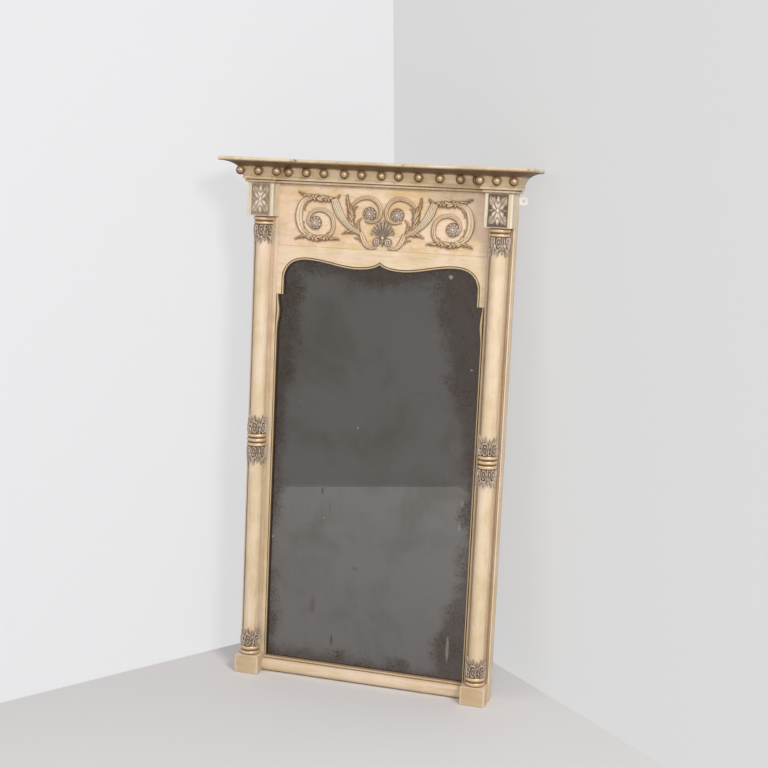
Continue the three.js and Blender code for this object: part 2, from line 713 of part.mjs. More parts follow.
// ---------- Assembly ----------
for (const [label, side] of [['left', -1], ['right', 1]]) {
  const across = (near, far) => [side * near, side * far].sort((a, b) => a - b);
  const pocket = hangingPlate(side, seam);
  const screwHole = screw(side, seam);

  const stile = toSolid(postOf(stileOutline(side), 0, carcassTop));
  addPiece(`${label}_stile`, toGeometry(stile.subtract(pocket).subtract(screwHole)), creamPaint);
  const edge = toSolid(mouldingOf(edgeSection(), ...across(stileOuterX, outerX)));
  addPiece(`${label}_edge_moulding`, toGeometry(edge.subtract(pocket)), creamPaint);
  const slip = side > 0 ? slipOutline() : mirrored(slipOutline());
  addPiece(`${label}_sight_slip`, boardOf(slip, -slipProud, lipThickness), dullGilt);
  addPiece(`${label}_glazing_strip`, block(across(glassEdgeX - glazingStripWidth, glassEdgeX),
    [glassBack + seam, railBack], [glassBottom, glassTop]), rawPine);

  addPiece(`${label}_base_block`, block(across(columnX - baseBlockWidth / 2,
    columnX + baseBlockWidth / 2), [-baseBlockDepth, -seam], [0, baseBlockHeight]), creamPaint);
  addPiece(`${label}_column`, column(side), creamPaint);
  addPiece(`${label}_base_leaves`, leafCollar(side, baseRingTop + seam, 1), agedCarving);
  addPiece(`${label}_mid_lower_leaves`, leafCollar(side, midRingBottom - seam, -1), agedCarving);
  addPiece(`${label}_mid_upper_leaves`, leafCollar(side, midRingTop + seam, 1), agedCarving);
  addPiece(`${label}_capital_leaves`, leafCollar(side, neckBottom - seam, -1), agedCarving);

  addPiece(`${label}_die_block`, block(across(dieInnerX, dieInnerX + dieWidth),
    [-dieDepth, -seam], [dieBottom, dieTop]), creamPaint);
  addPiece(`${label}_die_ornament`, dieOrnament(side), agedCarving);
  addPiece(`${label}_cornice_cove`, toGeometry(blockCove(side, 0)), creamPaint);
  const seat = blockCove(side, seam);
  blockBallPlaces(side).forEach((place, i) => addBall(`${label}_cornice_ball_${i + 1}`, place, seat));
  addPiece(`${label}_scrollwork`, scrollwork(side), agedCarving);

  const plate = hangingPlate(side, 0).subtract(eyeHole(side)).subtract(screwHole);
  addPiece(`${label}_hanging_plate`, toGeometry(plate), whitePaint);
  addPiece(`${label}_plate_screw`, toGeometry(screw(side, 0)), ironWork);
}

addPiece('frieze_board', block([-stileInnerX + seam, stileInnerX - seam], [0, lipThickness],
  [friezeBottom, carcassTop]), creamPaint);
addPiece('arch_panel', archPanel(), creamPaint);
addPiece('arch_bead', archBead(), dullGilt);
addPiece('bottom_rail', toGeometry(bottomRail()), creamPaint);
addPiece('top_rail', block([-glassEdgeX, glassEdgeX], [glassFront, railBack],
  [topRailBottom, carcassTop]), rawPine);
addPiece('mirror_plate', block([-glassEdgeX, glassEdgeX], [glassFront, glassBack],
  [glassBottom, glassTop]), oldMirror);
addPiece('backboard_left', block([-glassEdgeX, -plankGap / 2], [plankFront, frameDepth],
  [bottomRailLift, carcassTop]), rawPine);
addPiece('backboard_right', block([plankGap / 2, glassEdgeX], [plankFront, frameDepth],
  [bottomRailLift, carcassTop]), rawPine);

addPiece('centre_cornice_cove', toGeometry(centreCove(0)), creamPaint);
const centreSeat = joinAll([centreCove(seam), blockCove(-1, seam), blockCove(1, seam)]);
centreBallPlaces().forEach((place, i) => addBall(`centre_cornice_ball_${i + 1}`, place, centreSeat));
addPiece('cornice_board', corniceBoard(), creamPaint);
addPiece('anthemion', toGeometry(anthemion()), agedCarving);

// The origin sits under the middle of the whole depth, from the cornice's front to the back.
mirror.position.y = (dieDepth + boardOverhangFront - frameDepth) / 2;
mirror.updateMatrixWorld(true);

export default mirror;
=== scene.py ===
import math

import bpy
import numpy as np
from mathutils import Matrix, Vector


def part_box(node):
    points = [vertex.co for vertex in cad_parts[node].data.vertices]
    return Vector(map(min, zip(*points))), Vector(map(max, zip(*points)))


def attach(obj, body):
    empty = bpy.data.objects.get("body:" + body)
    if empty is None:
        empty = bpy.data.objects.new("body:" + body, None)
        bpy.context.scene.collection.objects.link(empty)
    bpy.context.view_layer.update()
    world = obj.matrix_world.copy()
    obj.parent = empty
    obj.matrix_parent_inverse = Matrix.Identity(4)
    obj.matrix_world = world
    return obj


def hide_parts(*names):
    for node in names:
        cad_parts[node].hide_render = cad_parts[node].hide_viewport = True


# Looks of the tall pier mirror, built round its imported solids.
# Sizes are in millimetres, with y = 0 on the face of the flat boards, as in the part's source.
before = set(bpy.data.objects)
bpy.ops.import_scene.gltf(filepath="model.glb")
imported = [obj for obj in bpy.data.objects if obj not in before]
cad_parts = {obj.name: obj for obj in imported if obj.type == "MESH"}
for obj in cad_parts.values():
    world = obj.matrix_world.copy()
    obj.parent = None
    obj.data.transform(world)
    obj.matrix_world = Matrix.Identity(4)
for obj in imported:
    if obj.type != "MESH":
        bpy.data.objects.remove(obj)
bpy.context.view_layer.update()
scene = bpy.context.scene
toMetres = 0.001
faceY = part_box("frieze_board")[0].y / toMetres
seam = 0.3


def extent(node):
    # lowest and highest corner of a solid, in millimetres from the boards' face
    lo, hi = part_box(node)
    shift = np.array([0, faceY, 0])
    return np.array(lo) / toMetres - shift, np.array(hi) / toMetres - shift


stileLow, stileHigh = extent("right_stile")
dieLow, dieHigh = extent("right_die_block")
baseLow, baseHigh = extent("right_base_block")
boardLow, boardHigh = extent("cornice_board")
friezeLow, friezeHigh = extent("frieze_board")
slipLow, slipHigh = extent("right_sight_slip")
railLow, railHigh = extent("bottom_rail")
edgeLow, edgeHigh = extent("right_edge_moulding")
plateLow, plateHigh = extent("right_hanging_plate")
columnX = (baseLow[0] + baseHigh[0]) / 2
backY = stileHigh[1]


# ---- meshes ----

def loft(rings, relief, closed=False):
    # rings[i, j]: closed loop i, point j; a quad joins each pair of points on neighbouring loops,
    # and the first and last loop are capped unless the loops close on themselves
    rings = np.asarray(rings, float)
    rows, around = rings.shape[:2]
    index = np.arange(rows * around).reshape(rows, around)
    above = np.roll(index, -1, axis=0) if closed else index[1:]
    below = index if closed else index[:-1]
    quads = np.stack([below, np.roll(below, -1, 1), np.roll(above, -1, 1), above], -1).reshape(-1, 4)
    caps = [] if closed else [index[0][::-1], index[-1]]
    amount = np.broadcast_to(relief, (rows, around))
    return outward(rings.reshape(-1, 3), quads, caps, amount.reshape(-1))


def outward(points, quads, caps, relief):
    # sum of a . (b x c) / 6 over the triangles is the volume; where it is negative the faces turn round
    corners = [quads[:, [0, 1, 2]], quads[:, [0, 2, 3]]]
    for cap in caps:
        corners.append(np.stack([np.full(len(cap) - 2, cap[0]), cap[1:-1], cap[2:]], 1))
    a, b, c = (points[np.vstack(corners)[:, k]] - points.mean(0) for k in range(3))
    if np.einsum("ij,ij->i", a, np.cross(b, c)).sum() < 0:
        quads, caps = quads[:, ::-1], [cap[::-1] for cap in caps]
    return points, quads, caps, relief


def flipped(shell):
    # the same shell on the left: x changes sign and the faces turn round
    points, quads, caps, relief = shell
    return points * [-1, 1, 1], quads[:, ::-1], [cap[::-1] for cap in caps], relief


def shifted(shell, shift):
    # the same shell moved sideways
    points, quads, caps, relief = shell
    return points + [shift, 0, 0], quads, caps, relief


def makeMesh(name, shells, smoothAngle):
    # the shells as one mesh in metres; relief becomes a point attribute that the paints read,
    # and edges sharper than smoothAngle stay crisp
    points, faces, relief, start = [], [], [], 0
    for shellPoints, quads, caps, amount in shells:
        points.append(shellPoints)
        relief.append(amount)
        faces += (quads + start).tolist() + [(cap + start).tolist() for cap in caps]
        start += len(shellPoints)
    placed = (np.vstack(points) + [0, faceY, 0]) * toMetres
    mesh = bpy.data.meshes.new(name)
    mesh.from_pydata(placed.tolist(), [], faces)
    carved = mesh.attributes.new("relief", "FLOAT", "POINT")
    carved.data.foreach_set("value", np.hstack(relief).astype(np.float32))
    mesh.polygons.foreach_set("use_smooth", np.ones(len(mesh.polygons), bool))
    mesh.set_sharp_from_angle(angle=math.radians(smoothAngle))
    mesh.update()
    return mesh


def addPiece(name, shells, finish, standsFor=(), smoothAngle=38):
    # one closed mesh or several, dressed and riding on the frame
    mesh = makeMesh(name, shells if isinstance(shells, list) else [shells], smoothAngle)
    piece = bpy.data.objects.new(name, mesh)
    scene.collection.objects.link(piece)
    mesh.materials.append(finishes[finish])
    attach(piece, "root")
    if standsFor:
        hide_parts(*standsFor)


def bothSides(name, shells, finish, standsFor=(), smoothAngle=38, shift=0.0):
    # the right piece as given and the left one mirrored; node names come without their side
    shells = shells if isinstance(shells, list) else [shells]
    for side in ("right", "left"):
        own = shells if side == "right" else [flipped(shell) for shell in shells]
        own = [shifted(shell, shift) for shell in own]
        addPiece(f"{side}_{name}", own, finish,
                 [f"{side}_{node}" for node in standsFor], smoothAngle)


# ---- lines and sections ----

def unevenness(points, wave, turn=0.0):
    # three sines over x, y and z, each about one wave long, added up to a value from -1 to 1
    q = np.asarray(points) / wave * 2 * math.pi
    return (np.sin(q @ [0.61, 0.33, 0.72] + turn) + 0.7 * np.sin(q @ [-0.41, 0.87, 0.55] + 1.9 * turn + 1)
            + 0.5 * np.sin(q @ [1.13, -0.52, 0.31] + 2.7 * turn + 2)) / 2.2


def arc(centre, radii, start, end, count):
    # centre + radii * (cos, sin) from start to end degrees
    turn = np.radians(np.linspace(start, end, count))
    return np.stack([centre[0] + radii[0] * np.cos(turn), centre[1] + radii[1] * np.sin(turn)], 1)


def smoothLine(points, count):
    # Catmull-Rom curve through the points, stepped evenly along its length
    p = np.array(points, float)
    padded = np.vstack([2 * p[0] - p[1], p, 2 * p[-1] - p[-2]])
    t = np.linspace(0, len(p) - 1, 30 * len(p))
    k = np.minimum(t.astype(int), len(p) - 2)
    u = (t - k)[:, None]
    a, b, c, d = padded[k], padded[k + 1], padded[k + 2], padded[k + 3]
    bend = (2 * a - 5 * b + 4 * c - d) * u ** 2 + (3 * b - a - 3 * c + d) * u ** 3
    return evenly(0.5 * (2 * b + (c - a) * u + bend), count)


def evenly(curve, count):
    # points at equal steps of arc length along a curve
    run = np.r_[0, np.cumsum(np.linalg.norm(np.diff(curve, axis=0), axis=1))]
    steps = np.linspace(0, run[-1], count)
    return np.stack([np.interp(steps, run, curve[:, i]) for i in range(curve.shape[1])], 1)


def acrossLine(line):
    # unit normals of a line in x and z: its direction turned by a quarter
    ahead = np.gradient(line, axis=0)
    ahead /= np.linalg.norm(ahead, axis=1)[:, None]
    return np.stack([-ahead[:, 1], ahead[:, 0]], 1)


def along(values, count):
    # values spread evenly over a length, joined smoothly
    fine = smoothLine([[i, v] for i, v in enumerate(values)], count * 4)
    return fine[np.round(np.linspace(0, count * 4 - 1, count)).astype(int), 1]


def turned(profile, x, y, sides):
    # profile[i] = (radius, z) turned about an upright axis at x, y
    turn = np.linspace(0, 2 * math.pi, sides, endpoint=False) - math.pi / 2
    return np.stack([x + profile[:, :1] * np.cos(turn), y + profile[:, :1] * np.sin(turn),
                     np.repeat(profile[:, 1:], sides, 1)], -1)


def flatBack(rings, limit=-seam):
    # what would reach into the boards is pressed flat against them
    rings = np.array(rings)
    rings[..., 1] = np.minimum(rings[..., 1], limit)
    return rings


def upright(section, levels):
    # one section of (x, y) points, or one for each level, stood at each height z
    sections = np.broadcast_to(section, (len(levels), *np.shape(section)[-2:]))
    return np.dstack([sections, np.repeat(levels[:, None], sections.shape[1], 1)])


def backed(front, relief, backY, backRelief):
    # rows of points that face forwards, closed by a flat back from each row's end to its start
    back = np.stack([front[:, -1], front[:, 0]], 1)
    back[..., 1] = backY
    return loft(np.concatenate([front, back], 1),
                np.concatenate([relief, np.full((len(front), 2), backRelief)], 1))


def block(lo, hi, radius=1.2, lip=0.9, rows=18, across=10):
    # rounded rectangle in x and y, run up in z and drawn in by a quarter round at its top and bottom;
    # relief is higher along the edges, where the paint is worn
    lo, hi = np.array(lo, float), np.array(hi, float)
    low, high = lo + radius, hi - radius
    corners = [(high[0], high[1]), (low[0], high[1]), (low[0], low[1]), (high[0], low[1])]
    outline, ways, sharp = [], [], []
    for i, corner in enumerate(corners):
        bend = arc((0, 0), (1, 1), 90 * i, 90 * i + 90, 5)
        share = np.linspace(0, 1, across)[1:-1, None]
        after = np.array(corners[(i + 1) % 4])
        outline += [corner + radius * bend, (corner + (after - corner) * share) + radius * bend[-1]]
        ways += [bend, np.repeat(bend[-1:], len(share), 0)]
        sharp += [np.ones(5), np.zeros(len(share))]
    outline, ways, sharp = np.vstack(outline), np.vstack(ways), np.hstack(sharp)
    turn = np.linspace(0, math.pi / 2, 5)
    ends = lip * (1 - np.cos(turn))
    between = np.linspace(lo[2] + lip, hi[2] - lip, rows)[1:-1]
    levels = np.hstack([lo[2] + ends, between, hi[2] - ends[::-1]])
    drawn = np.hstack([lip * (1 - np.sin(turn)), np.zeros(rows - 2), lip * (1 - np.sin(turn))[::-1]])
    worn = np.maximum(sharp[None], (drawn > 0)[:, None] * 1.0)
    return loft(upright(outline[None] - ways[None] * drawn[:, None, None], levels), 0.5 + 0.36 * worn)


# ---- materials ----

finishes = {}


def addNode(tree, kind, inputs=None, **settings):
    # an input is either another node's socket, which is linked, or a plain value
    made = tree.nodes.new(kind)
    for name, value in settings.items():
        setattr(made, name, value)
    for socket, value in (inputs or {}).items():
        if isinstance(value, bpy.types.NodeSocket):
            tree.links.new(value, made.inputs[socket])
        else:
            made.inputs[socket].default_value = value
    return made


def calc(tree, operation, a, b, clamp=False):
    # one sum on two values
    return addNode(tree, "ShaderNodeMath", {0: a, 1: b}, operation=operation, use_clamp=clamp).outputs[0]


def times(tree, a, b):
    return calc(tree, "MULTIPLY", a, b)


def plus(tree, a, b):
    return calc(tree, "ADD", a, b)


def minus(tree, a, b):
    return calc(tree, "SUBTRACT", a, b)


def larger(tree, a, b):
    return calc(tree, "MAXIMUM", a, b)


def remap(tree, value, low, high, newLow=0.0, newHigh=1.0):
    # low to high becomes newLow to newHigh, eased at both ends
    return addNode(tree, "ShaderNodeMapRange", {0: value, 1: low, 2: high, 3: newLow, 4: newHigh},
                   interpolation_type="SMOOTHSTEP").outputs[0]


def blendColour(tree, factor, a, b, mode="MIX"):
    # a where factor is 0, b where it is 1
    made = addNode(tree, "ShaderNodeMix", {0: factor, 6: a, 7: b}, data_type="RGBA", blend_type=mode)
    return made.outputs[2]


def noise(tree, vector, scale, detail, roughness, distortion=0.0):
    # a cloudy value about 0.5; scale is in waves to the metre
    given = {"Vector": vector, "Scale": scale, "Detail": detail, "Roughness": roughness,
             "Distortion": distortion}
    return addNode(tree, "ShaderNodeTexNoise", given).outputs[0]


def vectorCalc(tree, operation, a, b=(0, 0, 0)):
    # one sum on two vectors
    return addNode(tree, "ShaderNodeVectorMath", {0: a, 1: b}, operation=operation).outputs


def stretched(tree, vector, scale):
    # each of the vector's three values times its own scale
    return vectorCalc(tree, "MULTIPLY", vector, scale)[0]


def srgb(red, green, blue):
    # a colour read off a screen, as the linear value that Blender takes
    values = np.array([red, green, blue]) / 255
    linear = np.where(values <= 0.04045, values / 12.92, ((values + 0.055) / 1.055) ** 2.4)
    return (*linear.tolist(), 1.0)


def makeGroup(name, inputs, outputs):
    # a shader node group with named sockets; returns it with its input and output sockets
    group = bpy.data.node_groups.new(name, "ShaderNodeTree")
    for socketName, (kind, value) in inputs.items():
        socket = group.interface.new_socket(name=socketName, in_out="INPUT", socket_type=kind)
        if value is not None:
            socket.default_value = value
    for socketName, kind in outputs.items():
        group.interface.new_socket(name=socketName, in_out="OUTPUT", socket_type=kind)
    return group, group.nodes.new("NodeGroupInput").outputs, group.nodes.new("NodeGroupOutput").inputs


colourKind, numberKind, vectorKind = "NodeSocketColor", "NodeSocketFloat", "NodeSocketVector"


def agedPaintGroup():
    # two paints in cloudy patches, pinkish and whitish brush marks along the grain, brown glaze and
    # painted shade where relief is low, rubbed pale wear and painted highlights where it is high, and
    # specks of dirt
    group, given, made = makeGroup("agedPaint", {
        "Vector": (vectorKind, None), "Grain": (vectorKind, (1, 1, 1)), "Relief": (numberKind, 0.5),
        "Paint": (colourKind, (0.6, 0.5, 0.35, 1)), "Second Paint": (colourKind, (0.6, 0.45, 0.3, 1)),
        "Tint": (colourKind, (0.8, 0.6, 0.5, 1)), "Rubbed And Highlight": (colourKind, (0.8, 0.7, 0.55, 1)),
        "Glaze And Shade": (colourKind, (0.2, 0.12, 0.07, 1)), "Glaze And Shade Amount": (numberKind, 0.8),
        "Streaks": (numberKind, 0.4), "Dirt": (numberKind, 0.3), "Dullness": (numberKind, 1.0)},
        {"Color": colourKind, "Roughness": numberKind, "Height": numberKind})
    place, relief, grain = given["Vector"], given["Relief"], given["Grain"]
    brushed = stretched(group, place, grain)
    patches = remap(group, noise(group, place, 13, 4, 0.6, 0.5), 0.38, 0.62)
    colour = blendColour(group, patches, given["Paint"], given["Second Paint"])
    tint = remap(group, noise(group, brushed, 26, 4, 0.6, 0.3), 0.5, 0.68)
    colour = blendColour(group, times(group, tint, 0.6), colour, given["Tint"])
    fine = noise(group, brushed, 260, 4, 0.65)
    broad = noise(group, brushed, 75, 4, 0.6, 0.4)
    streak = plus(group, times(group, fine, 0.4), times(group, broad, 0.6))
    light = times(group, remap(group, streak, 0.5, 0.64), given["Streaks"])
    shade = times(group, remap(group, streak, 0.47, 0.34), given["Streaks"])
    colour = blendColour(group, light, colour, given["Rubbed And Highlight"])
    colour = blendColour(group, times(group, shade, 0.6), colour, given["Glaze And Shade"])
    ragged = noise(group, place, 420, 4, 0.7)
    uneven = plus(group, relief, times(group, minus(group, ragged, 0.5), 0.4))
    # high relief: rubbed wear, and the painted highlights that some pieces put into their relief
    rubAndHighlight = remap(group, uneven, 0.62, 0.95)
    colour = blendColour(group, times(group, rubAndHighlight, 0.85), colour, given["Rubbed And Highlight"])
    # low relief: brown glaze in hollows, and the painted shade that some pieces put into their relief
    hollow = times(group, remap(group, uneven, 0.44, 0.06), given["Glaze And Shade Amount"])
    colour = blendColour(group, hollow, colour, given["Glaze And Shade"])
    specks = remap(group, noise(group, place, 900, 2, 0.5), 0.66, 0.76)
    smudges = remap(group, noise(group, brushed, 40, 5, 0.7), 0.58, 0.74)
    both = plus(group, times(group, specks, 0.6), times(group, smudges, 0.5))
    dirt = calc(group, "MULTIPLY", both, given["Dirt"], clamp=True)
    colour = blendColour(group, dirt, colour, given["Glaze And Shade"])
    rough = times(group, remap(group, streak, 0.3, 0.7, 0.5, 0.68), given["Dullness"])
    height = minus(group, plus(group, streak, times(group, ragged, 0.5)), times(group, specks, 0.4))
    for name, value in {"Color": colour, "Roughness": rough, "Height": height}.items():
        group.links.new(value, made[name])
    return group


def newMaterial(name):
    # one shader and nothing else; returns its tree, the shader and the object coordinates
    material = bpy.data.materials.new(name)
    material.use_nodes = True
    tree = material.node_tree
    tree.nodes.clear()
    shader = tree.nodes.new("ShaderNodeBsdfPrincipled")
    output = tree.nodes.new("ShaderNodeOutputMaterial")
    tree.links.new(shader.outputs[0], output.inputs[0])
    finishes[name] = material
    return tree, shader, tree.nodes.new("ShaderNodeTexCoord").outputs["Object"]


def bump(tree, shader, height, strength, distance=0.0006):
    # distance is in metres
    made = addNode(tree, "ShaderNodeBump", {"Strength": strength, "Distance": distance, "Height": height})
    tree.links.new(made.outputs[0], shader.inputs["Normal"])


def paintFinish(name, look, grain=(1, 1, 1)):
    # the aged paint with a look's own colours; grain is small along the wood and 1 across it
    tree, shader, place = newMaterial(name)
    relief = addNode(tree, "ShaderNodeAttribute", attribute_name="relief").outputs["Fac"]
    made = addNode(tree, "ShaderNodeGroup", node_tree=agedPaint)
    tree.links.new(place, made.inputs["Vector"])
    tree.links.new(relief, made.inputs["Relief"])
    made.inputs["Grain"].default_value = grain
    for key, value in look.items():
        if key in made.inputs:
            made.inputs[key].default_value = srgb(*value) if made.inputs[key].type == "RGBA" else value
    tree.links.new(made.outputs["Color"], shader.inputs["Base Color"])
    tree.links.new(made.outputs["Roughness"], shader.inputs["Roughness"])
    shader.inputs["Metallic"].default_value = look.get("metal", 0.0)
    shader.inputs["Specular IOR Level"].default_value = look.get("sheen", 0.35)
    bump(tree, shader, made.outputs["Height"], look.get("bump", 0.35))


agedPaint = agedPaintGroup()
alongX, alongZ = (0.09, 1, 1), (1, 1, 0.09)

# colours are as a screen shows them; sheen, metal and bump belong to the shader, the rest to the paint
# a look's glaze colour also paints shade, and its rubbed colour highlights, where relief carries them
creamLook = {"Paint": (231, 208, 177), "Second Paint": (221, 196, 158), "Tint": (234, 207, 188),
             "Rubbed And Highlight": (241, 227, 207), "Glaze And Shade": (136, 104, 74), "Glaze And Shade Amount": 0.85, "Streaks": 0.4,
             "Dirt": 0.16}
friezeLook = {**creamLook, "Paint": (233, 208, 178), "Second Paint": (222, 190, 144),
              "Tint": (238, 206, 188), "Dirt": 0.12}
dirtyLook = {**creamLook, "Paint": (230, 210, 178), "Second Paint": (208, 186, 150),
             "Tint": (220, 192, 170), "Glaze And Shade": (114, 92, 66), "Streaks": 0.6, "Dirt": 0.5}
# the cove's darker glaze, laid on thickly, also paints the shade under the board
coveLook = {**creamLook, "Paint": (226, 202, 164), "Second Paint": (212, 184, 142),
            "Glaze And Shade": (106, 80, 52), "Glaze And Shade Amount": 0.95, "Streaks": 0.45}
dieLook = {**creamLook, "Paint": (220, 206, 178), "Second Paint": (206, 190, 160),
           "Tint": (216, 204, 184)}
# the blocks at the foot are a darker cream all over: painted shade for their fronts, facing away from the
# light above
plinthLook = {**creamLook, "Paint": (210, 184, 150), "Second Paint": (200, 172, 136),
              "Tint": (212, 182, 158), "Rubbed And Highlight": (230, 212, 186), "Streaks": 0.3}
carvingLook = {"Paint": (212, 185, 150), "Second Paint": (188, 157, 119), "Tint": (206, 178, 154),
               "Rubbed And Highlight": (232, 214, 186), "Glaze And Shade": (128, 96, 66), "Glaze And Shade Amount": 0.95, "Streaks": 0.2,
               "Dirt": 0.25}
hornLook = {**carvingLook, "Paint": (206, 190, 164), "Second Paint": (190, 172, 146),
            "Tint": (200, 184, 168), "Glaze And Shade": (128, 104, 80)}
silverLook = {"Paint": (180, 160, 138), "Second Paint": (156, 134, 112), "Tint": (186, 162, 148),
              "Rubbed And Highlight": (232, 221, 202), "Glaze And Shade": (92, 74, 57), "Glaze And Shade Amount": 0.95, "Streaks": 0.25,
              "Dirt": 0.25, "Dullness": 0.8, "sheen": 0.5}
giltLook = {"Paint": (184, 150, 106), "Second Paint": (160, 126, 86), "Tint": (190, 156, 126),
            "Rubbed And Highlight": (234, 206, 168), "Glaze And Shade": (90, 65, 42), "Glaze And Shade Amount": 0.95, "Streaks": 0.25,
            "Dirt": 0.25, "Dullness": 0.6, "metal": 0.4, "sheen": 0.6, "bump": 0.2}
ballLook = {**giltLook, "Paint": (190, 157, 110), "Second Paint": (165, 132, 91), "Tint": (196, 162, 130),
            "Rubbed And Highlight": (242, 216, 176)}
sightLook = {"Paint": (176, 148, 106), "Second Paint": (152, 124, 84), "Tint": (180, 154, 116),
             "Rubbed And Highlight": (214, 192, 152), "Glaze And Shade": (72, 55, 40), "Glaze And Shade Amount": 1.0, "Streaks": 0.3,
             "Dirt": 0.4, "Dullness": 0.8, "metal": 0.15, "sheen": 0.5, "bump": 0.25}

paintFinish("creamPaintUpright", creamLook, alongZ)
paintFinish("creamPaintLevel", creamLook, alongX)
paintFinish("dirtyPaintLevel", dirtyLook, alongX)
paintFinish("plinthPaint", plinthLook, alongX)
paintFinish("diePaint", dieLook, alongZ)
paintFinish("covePaint", coveLook, alongX)
paintFinish("friezePaint", friezeLook, (0.3, 1, 1))
paintFinish("friezeCarving", carvingLook)
paintFinish("silverCarving", silverLook)
paintFinish("hornCarving", hornLook)
paintFinish("dullGilt", giltLook)
paintFinish("ballGilt", ballLook)
paintFinish("sightGiltUpright", sightLook, alongZ)
paintFinish("sightGiltLevel", sightLook, alongX)


def rawPineFinish(name, grain):
    # rings of darker late wood, stretched along the grain, and grey dust on top
    settings = {"late": srgb(118, 88, 58), "early": srgb(164, 128, 88), "pores": srgb(84, 60, 40),
                "dust": srgb(122, 108, 94)}
    s = settings
    tree, shader, place = newMaterial(name)
    lines = stretched(tree, place, grain)
    rings = noise(tree, lines, 95, 5, 0.6, 0.8)
    pores = noise(tree, lines, 700, 3, 0.7)
    wood = blendColour(tree, remap(tree, rings, 0.36, 0.66), s["late"], s["early"])
    wood = blendColour(tree, remap(tree, pores, 0.62, 0.75), wood, s["pores"])
    dust = remap(tree, noise(tree, place, 7, 4, 0.6), 0.4, 0.72, 0.0, 0.4)
    wood = blendColour(tree, dust, wood, s["dust"])
    tree.links.new(wood, shader.inputs["Base Color"])
    shader.inputs["Roughness"].default_value = 0.82
    bump(tree, shader, plus(tree, rings, pores), 0.5, 0.0008)


rawPineFinish("rawPineUpright", alongZ)
rawPineFinish("rawPineLevel", alongX)


